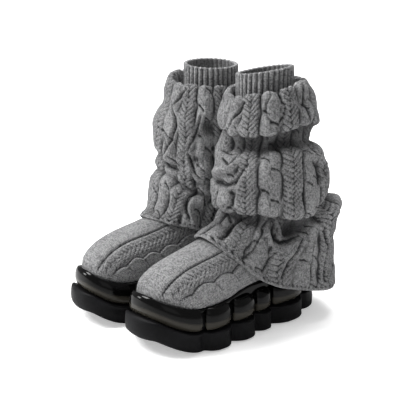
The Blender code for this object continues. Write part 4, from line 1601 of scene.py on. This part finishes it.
    def shifts(self, skin: BVHTree) -> tuple[np.ndarray, np.ndarray]:
        """Work out how far the skirt is moved to stand clear of the foot.

        Args:
            skin: The foot's skin.

        Returns:
            The moves, shape (rows, coarse columns, 3), and the place of each row.
        """
        turns = self.cable_turn + 360.0 * np.arange(self.coarse_columns) / self.coarse_columns
        profile, places = self.profile(turns, [fold.rows for fold in self.shape.folds[:-1]])
        inside = profile - self.outward(profile) * self.wall
        points = self.placement.on_leg(inside[..., 0], inside[..., 1], turns)
        moves = np.zeros(points.shape)
        for index in np.ndindex(points.shape[:2]):
            if points[index][2] <= self.skirt_top:
                moves[index] = self.push_clear(Vector(points[index]), skin)
        near = np.stack((np.roll(moves, 1, 1), moves, np.roll(moves, -1, 1)))
        longest = np.argmax(np.linalg.norm(near, axis=-1), axis=0)
        return np.take_along_axis(near, longest[None, ..., None], 0)[0], places

    def push_clear(self, point: Vector, skin: BVHTree) -> Vector:
        """Work out how far a point of the skirt has to move.

        Args:
            point: The point.
            skin: The foot's skin.

        Returns:
            The move.
        """
        clearance = self.clearances[0 if self.placement.side is Side.LEFT else 1]
        total = Vector((0.0, 0.0, 0.0))
        for _ in range(self.push_rounds):
            near, normal, _, _ = skin.find_nearest(point + total)
            stand_off = (point + total - near).dot(normal)
            if stand_off >= clearance:
                break
            total += normal * (clearance - stand_off)
        return total

    def spread_shifts(self, moves: np.ndarray, places: np.ndarray, rows: np.ndarray) -> np.ndarray:
        """Read the skirt's moves at the fine rows and columns.

        Args:
            moves: The moves at the coarse rows and columns.
            places: Place of each coarse row.
            rows: Place of each fine row.

        Returns:
            The moves, shape (rows, columns, 3).
        """
        flat = moves.reshape(len(places), -1).T
        by_row = np.stack([np.interp(rows, places, column) for column in flat], -1).reshape(len(rows), -1, 3)
        share = self.columns // self.coarse_columns
        t = smooth(np.arange(share) / share)[None, None, :, None]
        between = by_row[:, :, None, :] * (1 - t) + np.roll(by_row, -1, 1)[:, :, None, :] * t
        return between.reshape(len(rows), self.columns, 3)

    def drape(self, cloth: Grid) -> np.ndarray:
        """Add up the waves, creases and swells.

        Args:
            cloth: The leg's points.

        Returns:
            Height of each point above the plain cloth, in millimetres.
        """
        angle = np.radians(cloth.turns)
        height = np.zeros(cloth.lengths.shape)
        for wave in self.waves:
            down = 2 * math.pi * cloth.lengths / wave.length
            height += wave.size * np.sin(wave.times * angle + down + wave.phase)
        for crease in self.shape.creases:
            height += self.fold_in(crease, cloth)
        for swell in self.shape.swells:
            height += self.swollen(swell, cloth)
        return height

    def fold_in(self, crease: Crease, cloth: Grid) -> np.ndarray:
        """Work out what one crease adds.

        Args:
            crease: The crease.
            cloth: The leg's points.

        Returns:
            The height that it adds to each point.
        """
        ends = [np.array((turn * self.mm_a_degree, cloth.down_to(turn, place))) for turn, place in crease.path]
        centre = sum(point[0] for point in crease.path) / len(crease.path)
        across = (wrapped(cloth.turns - centre) + centre) * self.mm_a_degree
        here = np.stack((np.broadcast_to(across, cloth.lengths.shape), cloth.lengths), -1)
        runs = np.array([np.linalg.norm(b - a) for a, b in zip(ends, ends[1:])])
        starts = np.concatenate(([0.0], np.cumsum(runs)))
        nearest = np.full(cloth.lengths.shape, np.inf)
        travel, side = np.zeros(cloth.lengths.shape), np.zeros(cloth.lengths.shape)
        for a, b, run, start in zip(ends, ends[1:], runs, starts):
            step = (b - a) / run
            offset = here - a
            reach = np.clip(offset @ step, 0, run)
            distance = np.linalg.norm(offset - reach[..., None] * step, axis=-1)
            closer = distance < nearest
            nearest = np.where(closer, distance, nearest)
            travel = np.where(closer, start + reach, travel)
            side = np.where(closer, step[1] * offset[..., 0] - step[0] * offset[..., 1], side)
        share = travel / starts[-1]
        least, growth = self.crease_ends
        taper = least + (1 - least) * smooth(share / growth) * smooth((1 - share) / growth)
        trough = peak(nearest, crease.width)
        from_bank = nearest - self.bank_at * crease.width
        bank = self.bank_share * peak(from_bank, self.bank_half * crease.width)
        lifted = smooth(side * np.sign(crease.lift) + 0.5)
        raised = (1 - trough) * np.exp(-nearest / (self.lift_reach * crease.width)) * lifted
        return taper * (crease.depth * (bank - trough) + abs(crease.lift) * raised)

    def swollen(self, swell: Swell, cloth: Grid) -> np.ndarray:
        """Work out a rounded patch of the cloth.

        Args:
            swell: The patch.
            cloth: The leg's points.

        Returns:
            A value at each point, the patch's height in its middle.
        """
        across = wrapped(cloth.turns - swell.turn) * self.mm_a_degree
        down = cloth.lengths - cloth.down_to(swell.turn, swell.place)
        return swell.height * np.exp(-(across[None] / swell.across) ** 2 - (down / swell.down) ** 2)

    def relief(self, cloth: Grid) -> np.ndarray:
        """Work out the cables and plaits, whose columns lean to the toe in the skirt.

        Args:
            cloth: The leg's points.

        Returns:
            The height of the knit at each point.
        """
        top, bottom = self.lean_places
        start, run = len(self.shape.folds) - 1 - top, top - bottom
        signed = wrapped(cloth.turns)
        lean = np.where(np.abs(signed) < 90.0, np.sin(np.radians(2 * signed)), 0.0) * self.lean_degrees
        leaning = lean[None] * smooth((cloth.places - start) / run)[:, None]
        knit_turns = (cloth.turns - self.cable_turn)[None] + leaning
        return KNIT.height(knit_turns * KNIT.repeat * self.knit_repeats / 360.0, cloth.lengths)

    def hem_dents(self, turns: np.ndarray, above: np.ndarray) -> np.ndarray:
        """Work out where the stitches that hold up the hem dent it.

        Args:
            turns: Turn of each column.
            above: Distance of each point above the hem.

        Returns:
            A share at each point, 1 in the middle of a dent.
        """
        dents = (0.5 + 0.5 * np.cos(np.radians((turns - self.cable_turn) * self.hem_stitches))) ** 2
        return dents[None] * peak(above - self.hem_line, self.hem_half)

    def section_normals(self, profile: np.ndarray, turns: np.ndarray) -> np.ndarray:
        """Work out each section's outward direction.

        Args:
            profile: Points (radius, height) of each section.
            turns: Turn of each section.

        Returns:
            The direction in space at each point.
        """
        out = self.outward(profile)
        angle = np.radians(turns)
        return np.stack((out[..., 0] * np.sin(angle), -out[..., 0] * np.cos(angle), out[..., 1]), -1)

    def stitches(self, turns: np.ndarray, lengths: np.ndarray) -> np.ndarray:
        """Count the stitches at each point, with one column more to close the ring.

        Args:
            turns: Turn of each column.
            lengths: Distance of each point down the cloth.

        Returns:
            Stitches across and rows down, shape (rows, columns + 1, 2).
        """
        across = np.concatenate((turns, turns[:1] + 360.0)) / self.stitch_degrees
        down = np.concatenate((lengths, lengths[:, :1]), 1) / self.stitch_row
        return np.stack((np.broadcast_to(across, down.shape), down), -1)

    def build(self, skin: BVHTree) -> bpy.types.Object:
        """Make the leg.

        Args:
            skin: The foot's skin, which the skirt stands clear of.

        Returns:
            The new piece.
        """
        turns = self.cable_turn + 360.0 * np.arange(self.columns) / self.columns
        spans = np.linalg.norm(np.diff(self.keys(turns), axis=0), axis=-1).mean(1)
        rows = [max(self.least_rows, math.ceil(span / self.row_pitch)) for span in spans]
        profile, places = self.profile(turns, rows)
        steps = np.linalg.norm(np.diff(profile, axis=0), axis=-1)
        lengths = np.concatenate((np.zeros((1, self.columns)), np.cumsum(steps, axis=0)))
        cloth, above = Grid(turns, places, lengths), lengths[-1] - lengths
        moves = self.spread_shifts(*self.shifts(skin), places)
        base = self.placement.on_leg(profile[..., 0], profile[..., 1], turns) + moves
        normals = -grid_normals(base, False)
        normals *= np.sign(np.sum(normals * self.section_normals(profile, turns), -1, keepdims=True))
        drape = self.drape(cloth) * smooth(lengths / self.drape_fade)
        kept = 1 - self.fold_flattening.at(np.abs(drape))
        for patch in self.shape.plains:
            kept *= 1 - self.swollen(patch, cloth)
        at_hem = self.hem_relief + (1 - self.hem_relief) * smooth(above / self.hem_fade)
        dents = self.hem_dents(turns, above)
        relief = self.relief(cloth) * (smooth(lengths / self.seam_fade) * at_hem) * kept
        relief -= self.hem_depth * dents
        outer = base + normals * (relief + drape)[..., None]
        inside = base + normals * (drape - self.wall)[..., None]
        edge = (outer[-1] + inside[-1]) / 2 + unit(base[-1] - base[-2]) * self.hem_round
        outer = np.concatenate((outer, edge[None]))
        # Painted shade: hollows, folds that overhang and the hem's stitch dents darken the cloth's colour
        # through the shade attribute.
        shade = shading(relief + drape, profile[..., 0])
        shade *= Overhang().light(profile[..., 0] + blurred(drape, self.light_blur), profile[..., 1])
        shade *= 1 - self.hem_shade * dents
        shade = np.concatenate((shade, shade[-1:]))
        uv = self.stitches(turns, np.concatenate((lengths, lengths[-1:] + 1.0)))
        picks = np.unique(np.concatenate((np.arange(0, len(inside), self.inner_share), [len(inside) - 1])))
        inner = inside[picks][:, ::self.inner_share]
        place = self.placement.world
        return Shell(place(outer), place(inner), uv, shade).build(f"leg_knit_{self.placement.side.suffix}")


# The ribbed cuff

class Rim(NamedTuple):
    """The rim of one cuff: its height, how far it tilts, and the turn of its highest point."""

    height: float
    tilt: float
    turn: float


@dataclass(frozen=True)
class CuffCloth:
    """The ribbed band at the top of one sock, with a rolled rim.

    Attributes:
        rim_drop, rim_wave: How far the wall ends under the rim, and how far the ribs show in it.
        rib_fullness, rib_ground: Roundness of a rib, and its share below the plain.
        lean, lean_times, lean_phase: How far the band is out of round, how often and from what turn.
        roll_shares: Points over the rolled rim, from the inner to the outer wall.
    """

    placement: Placement
    rim: Rim
    rim_drop: float = 0.4
    rim_wave: float = 0.35
    foot_z: float = 300.0
    ribs: int = 32
    points_a_rib: int = 10
    rows: int = 26
    radius: float = 36.6
    wall: float = 2.6
    depth: float = 2.5
    rib_fullness: float = 0.75
    rib_ground: float = 0.25
    inner_ribs: float = 0.6
    lean: float = 0.5
    lean_times: int = 3
    lean_phase: float = 40.0
    roll_shares: tuple[float, ...] = (0.25, 0.5, 0.75)
    roll_height: float = 1.3
    rib_light: float = 1.12
    wales_a_rib: float = 2.0
    stitch_row: float = 2.1
    knit_height: float = 40.0

    def top(self, turns: np.ndarray) -> np.ndarray:
        """Work out the rim.

        Args:
            turns: Turns in degrees.

        Returns:
            Its height at each turn.
        """
        wave = self.rim_wave * np.cos(np.radians(turns) * self.ribs)
        tilt = self.rim.tilt * np.cos(np.radians(turns - self.rim.turn))
        return self.rim.height + tilt - self.rim_drop + wave

    def build(self) -> bpy.types.Object:
        """Make the cuff.

        Returns:
            The new piece.
        """
        count = self.ribs * self.points_a_rib
        turns = 360.0 * np.arange(count) / count
        rib = np.abs(np.cos(np.radians(turns) * self.ribs / 2)) ** self.rib_fullness
        shares = np.linspace(1.0, 0.0, self.rows)
        height = self.foot_z + (self.top(turns)[None] - self.foot_z) * shares[:, None]
        ridge = self.depth * (rib - self.rib_ground)[None] * np.ones((self.rows, 1))
        sway = self.lean * np.sin(np.radians(turns * self.lean_times + self.lean_phase))[None]
        lean = sway * np.sin(math.pi * shares)[:, None]
        outer = self.placement.on_leg(self.radius + ridge + lean, height, turns)
        inner_radius = self.radius - self.wall - self.inner_ribs * ridge + lean
        inner = self.placement.on_leg(inner_radius, height, turns)
        roll = []
        for share in self.roll_shares:
            across = outer[0] * share + inner[0] * (1 - share)
            roll.append(across + np.array((0.0, 0.0, self.roll_height * math.sin(math.pi * share))))
        outer = np.concatenate((np.array(roll), outer))
        bright = np.ones((len(roll), count))
        # Painted shade: the valleys between the ribs are darkened in the colour.
        shade = np.concatenate((bright, np.tile(smooth(rib * self.rib_light), (self.rows, 1))))
        across = np.concatenate((turns, [360.0])) * self.ribs / 360.0 * self.wales_a_rib
        over_rim = 0.5 * np.arange(-len(roll), 0)
        down = np.concatenate((over_rim, (1 - shares) * self.knit_height / self.stitch_row))
        grid = (len(down), count + 1)
        uv = np.stack((np.broadcast_to(across, grid), np.broadcast_to(down[:, None], grid)), -1)
        place = self.placement.world
        return Shell(place(outer), place(inner), uv, shade).build(f"cuff_knit_{self.placement.side.suffix}")


# The sole

class SolePart(Enum):
    """The kinds of sole piece."""

    OUTSOLE = (("outsole",), Slot.RUBBER, 3, 0.2, 0.6, 0.0)
    CORE = (("sole_core",), Slot.RUBBER, 1, 0.8, 0.6, 0.0)
    RAND = (("rand",), Slot.GLOSS, 2, 0.3, 0.65, 0.0)
    END_POD = (("toe_pod", "heel_pod"), Slot.GLOSS, 3, 0.0, 0.6, 2.2)
    RING_POD = (tuple(f"pod_{ring}_{number}" for ring in ("outer", "inner") for number in range(1, 5)),
                Slot.GLOSS, 3, 0.0, 0.55, 2.2)

    def __init__(self, nodes: tuple[str, ...], slot: Slot, levels: int, crease: float, held: float,
                 bulge: float) -> None:
        """Keep what the member stands for.

        Args:
            nodes: Names of the nodes of this kind, without their side.
            slot: Material slot.
            levels: Times that the mesh is subdivided.
            crease: How sharp its sharp edges stay, from 0 to 1.
            held: Share of its size that is held against the rounding.
            bulge: How far its outer face swells, in millimetres.
        """
        self.nodes = nodes
        self.slot = slot
        self.levels = levels
        self.crease = crease
        self.held = held
        self.bulge = bulge


@dataclass(frozen=True)
class Sole:
    """The pieces of one sole, rounded from the frame's solids.

    Attributes:
        merge: Distance within which points are joined, in metres.
        quad_bend, quad_skew: Most that two triangles joined to a quad bend and lean, in degrees.
        bulge_at: Share of the way up at which a pod swells most.
        round_end: Distance along the shoe from which its ends turn round.
    """

    placement: Placement
    materials: dict[Slot, bpy.types.Material]
    merge: float = 0.00002
    quad_bend: float = 60.0
    quad_skew: float = 90.0
    sharp_angle: float = 50.0
    bulge_at: float = 0.35
    round_end: float = 85.0
    ring_taper: int = 3

    def build(self, nodes: dict[str, bpy.types.Object]) -> None:
        """Round and dress every piece.

        Args:
            nodes: The frame's nodes by name.
        """
        suffix = self.placement.side.suffix
        for part in SolePart:
            for name in part.nodes:
                node = f"{name}_{suffix}"
                piece = self.rounded(nodes[node], f"{name}_shell_{suffix}", part)
                piece.data.materials.append(self.materials[part.slot])
                keep(piece, part.slot, node)

    def rounded(self, node: bpy.types.Object, name: str, part: SolePart) -> bpy.types.Object:
        """Make a merged, subdivided copy of a node.

        Args:
            node: The node.
            name: Name of the copy.
            part: What it is.

        Returns:
            The copy.
        """
        bpy.ops.object.select_all(action="DESELECT")
        mesh = node.data.copy()
        mesh.materials.clear()
        piece = bpy.data.objects.new(name, mesh)
        bpy.context.scene.collection.objects.link(piece)
        bpy.context.view_layer.objects.active = piece
        piece.select_set(True)
        bpy.ops.object.mode_set(mode="EDIT")
        bpy.ops.mesh.select_all(action="SELECT")
        bpy.ops.mesh.remove_doubles(threshold=self.merge)
        bpy.ops.mesh.tris_convert_to_quads(face_threshold=math.radians(self.quad_bend),
                                           shape_threshold=math.radians(self.quad_skew))
        bpy.ops.mesh.select_all(action="DESELECT")
        bpy.ops.mesh.select_mode(type="EDGE")
        bpy.ops.mesh.edges_select_sharp(sharpness=math.radians(self.sharp_angle))
        bpy.ops.transform.edge_crease(value=part.crease)
        bpy.ops.object.mode_set(mode="OBJECT")
        rounding = piece.modifiers.new("rounding", "SUBSURF")
        rounding.levels = rounding.render_levels = part.levels
        self.hold_size(piece, part.held)
        bpy.ops.object.modifier_apply(modifier=rounding.name)
        self.pillow(piece.data, part)
        bpy.ops.object.shade_smooth()
        piece.select_set(False)
        return piece

    def hold_size(self, piece: bpy.types.Object, held: float) -> None:
        """Move a piece's points out by a share of what the rounding draws them in.

        Args:
            piece: The piece, with its rounding.
            held: The share.
        """
        bpy.context.view_layer.update()
        rounded = piece.evaluated_get(bpy.context.evaluated_depsgraph_get()).data
        drawn_in = [point.co - rounded.vertices[point.index].co for point in piece.data.vertices]
        for point, move in zip(piece.data.vertices, drawn_in):
            point.co += move * held

    def pillow(self, mesh: bpy.types.Mesh, part: SolePart) -> None:
        """Swell the outer face of a pod, and keep each point's share of the way up it.

        Args:
            mesh: The rounded mesh.
            part: What it is.
        """
        count = len(mesh.vertices)
        points, normals = np.zeros(count * 3), np.zeros(count * 3)
        mesh.vertices.foreach_get("co", points)
        mesh.vertex_normals.foreach_get("vector", normals)
        points, normals = points.reshape(-1, 3), normals.reshape(-1, 3)
        across, down_foot = self.placement.on_shoe(points)
        height = points[:, 2] / MM - FootCloth().spring(down_foot)
        rise = (height - height.min()) / np.ptp(height)
        if part.bulge:
            past_round = down_foot - np.clip(down_foot, -self.round_end, self.round_end)
            out = unit(np.stack((across, past_round, np.zeros(count)), -1))
            facing = np.clip(np.sum(out * normals, -1), 0, 1)
            span = np.where(rise > self.bulge_at, 1 - self.bulge_at, self.bulge_at)
            swell = facing * np.clip(1 - ((rise - self.bulge_at) / span) ** 2, 0, 1)
            if part is SolePart.RING_POD:
                middle, half = (down_foot.max() + down_foot.min()) / 2, np.ptp(down_foot) / 2
                swell *= 1 - np.abs((down_foot - middle) / half) ** self.ring_taper
            points += out * (swell * part.bulge * MM)[:, None]
            mesh.vertices.foreach_set("co", points.ravel())
        # The rise places the gloss's painted reflection of the floor on the lower part of a pod.
        attribute = mesh.attributes.new("rise", "FLOAT", "POINT")
        attribute.data.foreach_set("value", rise if part.bulge else np.ones(count))


def keep(piece: bpy.types.Object, slot: Slot, node: str) -> None:
    """Ride a piece on the body in place of a node.

    Args:
        piece: The piece.
        slot: Its material slot; not used.
        node: The node that it stands for.
    """
    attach(piece, BODY)
    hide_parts(node)
    LOG.info("%s: %d faces, for %s", piece.name, len(piece.data.polygons), node)


# The studio

class Lamp(NamedTuple):
    """A soft square light: its name and place, the length of its sides in metres and its power in watts."""

    name: str
    place: tuple[float, float, float]
    size: float
    power: float


@dataclass(frozen=True)
class Studio:
    """A white floor, soft light and the camera.

    Attributes:
        eye_aside, eye_height: Where the camera stands from there, and how high.
        lit_point: What the lamps look at.
        floor_glow: What the floor glows with near the pair, and what it gains over glow_range.
    """

    ankle: Vector
    eye_aside: tuple[float, float] = (0.8221, -0.7900)
    eye_height: float = 0.4576
    azimuth: float = 50.08
    pitch: float = 15.05
    lens: float = 75.6
    lamps: tuple[Lamp, ...] = (
        Lamp("key", (-0.9, -1.1, 1.5), 0.7, 37.0),
        Lamp("low", (-1.0, -1.05, 0.4), 0.22, 3.4),
        Lamp("fill", (1.6, -1.0, 1.0), 1.2, 2.5),
        Lamp("top", (-0.2, 0.5, 1.8), 0.9, 26.0),
    )
    lit_point: tuple[float, float, float] = (0.0, 0.0, 0.15)
    world_light: float = 0.4
    floor_size: float = 60.0
    floor_drop: float = 0.0002
    floor_white: float = 0.9
    floor_roughness: float = 0.9
    floor_specular: float = 0.1
    floor_glow: tuple[float, float] = (0.32, 0.7)
    glow_range: tuple[float, float] = (0.05, 0.6)

    def floor(self) -> None:
        """Lay the floor, a white plane that reaches past the view."""
        bpy.ops.object.select_all(action="DESELECT")
        bpy.ops.mesh.primitive_plane_add(size=self.floor_size, location=(0.0, 0.0, -self.floor_drop))
        floor = bpy.context.active_object
        floor.name = "floor"
        shader = Shader("white_floor")
        away = shader.node("ShaderNodeVectorMath", {"operation": "LENGTH"}, [shader.object_coords()], "Value")
        seen = shader.node("ShaderNodeLightPath", {}, (), "Is Camera Ray")
        near, gain = self.floor_glow
        glow = (away.step(*self.glow_range) * gain + near) * seen
        shader.set(Base_Color=(*[self.floor_white] * 3, 1.0), Roughness=self.floor_roughness,
                   Specular_IOR_Level=self.floor_specular, Emission_Strength=1.0,
                   Emission_Color=shader.mix(glow, (0.0, 0.0, 0.0), (1.0, 1.0, 1.0)))
        floor.data.materials.append(shader.material)

    def hang(self, lamp: Lamp) -> None:
        """Hang a light that looks at the pair.

        Args:
            lamp: The light.
        """
        data = bpy.data.lights.new(lamp.name, "AREA")
        data.shape = "SQUARE"
        data.size = lamp.size
        data.energy = lamp.power
        light = bpy.data.objects.new(lamp.name, data)
        place = Vector(lamp.place)
        light.location = place
        light.rotation_euler = (Vector(self.lit_point) - place).to_track_quat("-Z", "Y").to_euler()
        bpy.context.scene.collection.objects.link(light)

    def light(self) -> None:
        """Light the pair from all round and by the lamps."""
        world = bpy.data.worlds.new("white_world")
        world.use_nodes = True
        background = world.node_tree.nodes["Background"]
        background.inputs["Color"].default_value = (1.0, 1.0, 1.0, 1.0)
        background.inputs["Strength"].default_value = self.world_light
        bpy.context.scene.world = world
        for lamp in self.lamps:
            self.hang(lamp)
        bpy.context.scene.view_settings.view_transform = "Standard"

    def camera(self) -> None:
        """Add the camera at the photograph's angle."""
        data = bpy.data.cameras.new("camera")
        data.lens = self.lens
        camera = bpy.data.objects.new("camera", data)
        camera.location = (self.ankle.x + self.eye_aside[0], self.ankle.y + self.eye_aside[1], self.eye_height)
        camera.rotation_euler = (math.radians(90 - self.pitch), 0.0, math.radians(self.azimuth))
        bpy.context.scene.collection.objects.link(camera)
        bpy.context.scene.camera = camera

    def build(self) -> None:
        """Set up the floor, the lights and the camera."""
        self.floor()
        self.light()
        self.camera()


# The pair

class Hold(Enum):
    """How a piece of cloth is held."""

    GATHERED = "gathered"
    STRETCHED = "stretched"


@dataclass(frozen=True)
class Cut:
    """The flat cut of one piece of cloth, in metres.

    Attributes:
        width: Width round the leg or foot, of all that shows.
        length: Length down it.
        hold: How it is held.
        rests_on: The part that it rests on, without its side.
        area: Flat area in square metres where the cut isn't a rectangle.
    """

    width: float
    length: float
    hold: Hold
    rests_on: str
    area: float | None = None


@dataclass(frozen=True)
class Stance:
    """What sets one side apart: turn of the toe, shift ahead in millimetres, leg with its cut, and rim."""

    side: Side
    toe_out: float
    ahead: float
    leg: LegShape
    leg_cut: Cut
    rim: Rim


PAIR = (
    Stance(Side.LEFT, 3.6, 0.0, LEFT_LEG, Cut(0.48, 0.314, Hold.GATHERED, "foot"), Rim(336.0, 5.5, 130.0)),
    Stance(Side.RIGHT, 7.0, 5.0, RIGHT_LEG, Cut(0.48, 0.297, Hold.GATHERED, "foot"), Rim(335.5, 3.5, 250.0)),
)


@dataclass(frozen=True)
class SockAndShoe:
    """One sock with its sole, and the flat cuts of its foot and cuff."""

    stance: Stance
    placement: Placement
    materials: dict[Slot, bpy.types.Material]
    foot_cut: Cut = Cut(0.27, 0.3, Hold.STRETCHED, "rand", 0.0502)
    cuff_cut: Cut = Cut(0.24, 0.044, Hold.STRETCHED, "leg")

    def dress(self, piece: bpy.types.Object, name: str, cut: Cut) -> None:
        """Give a piece of cloth its yarn and its node, and log its cloth area.

        Args:
            piece: The piece.
            name: The node that it stands for, without its side.
            cut: Its flat cut; not used.
        """
        side = self.placement.side
        piece.data.materials.append(self.materials[Slot.KNIT])
        keep(piece, Slot.KNIT, f"{name}_{side.suffix}")
        both_sides = sum(polygon.area for polygon in piece.data.polygons)
        LOG.info("%s: cloth area %.4f", piece.name, both_sides / 2)

    def build(self, nodes: dict[str, bpy.types.Object]) -> None:
        """Make and dress every piece.

        Args:
            nodes: The frame's nodes by name.
        """
        foot, skin = FootCloth().build(self.placement)
        leg = LegCloth(self.placement, self.stance.leg).build(skin)
        cuff = CuffCloth(self.placement, self.stance.rim).build()
        self.dress(foot, "foot", self.foot_cut)
        self.dress(leg, "leg", self.stance.leg_cut)
        self.dress(cuff, "cuff", self.cuff_cut)
        Sole(self.placement, self.materials).build(nodes)


def main() -> None:
    logging.basicConfig(level=logging.INFO, format="%(name)s: %(message)s")
    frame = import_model()
    materials = {
        Slot.KNIT: KnitFinish().build("heather_knit"),
        Slot.GLOSS: GlossFinish().build("smoky_gloss"),
        Slot.RUBBER: RubberFinish().build("matt_rubber"),
    }
    ankles = {}
    for side in Side:
        low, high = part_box(f"cuff_{side.suffix}")
        ankles[side] = (low + high) / 2
    for stance in PAIR:
        placement = Placement(stance.side, ankles[stance.side], stance.toe_out, stance.ahead)
        SockAndShoe(stance, placement, materials).build(frame["nodes"])
    Studio(ankles[Side.LEFT]).build()


if __name__ == "__main__":
    main()
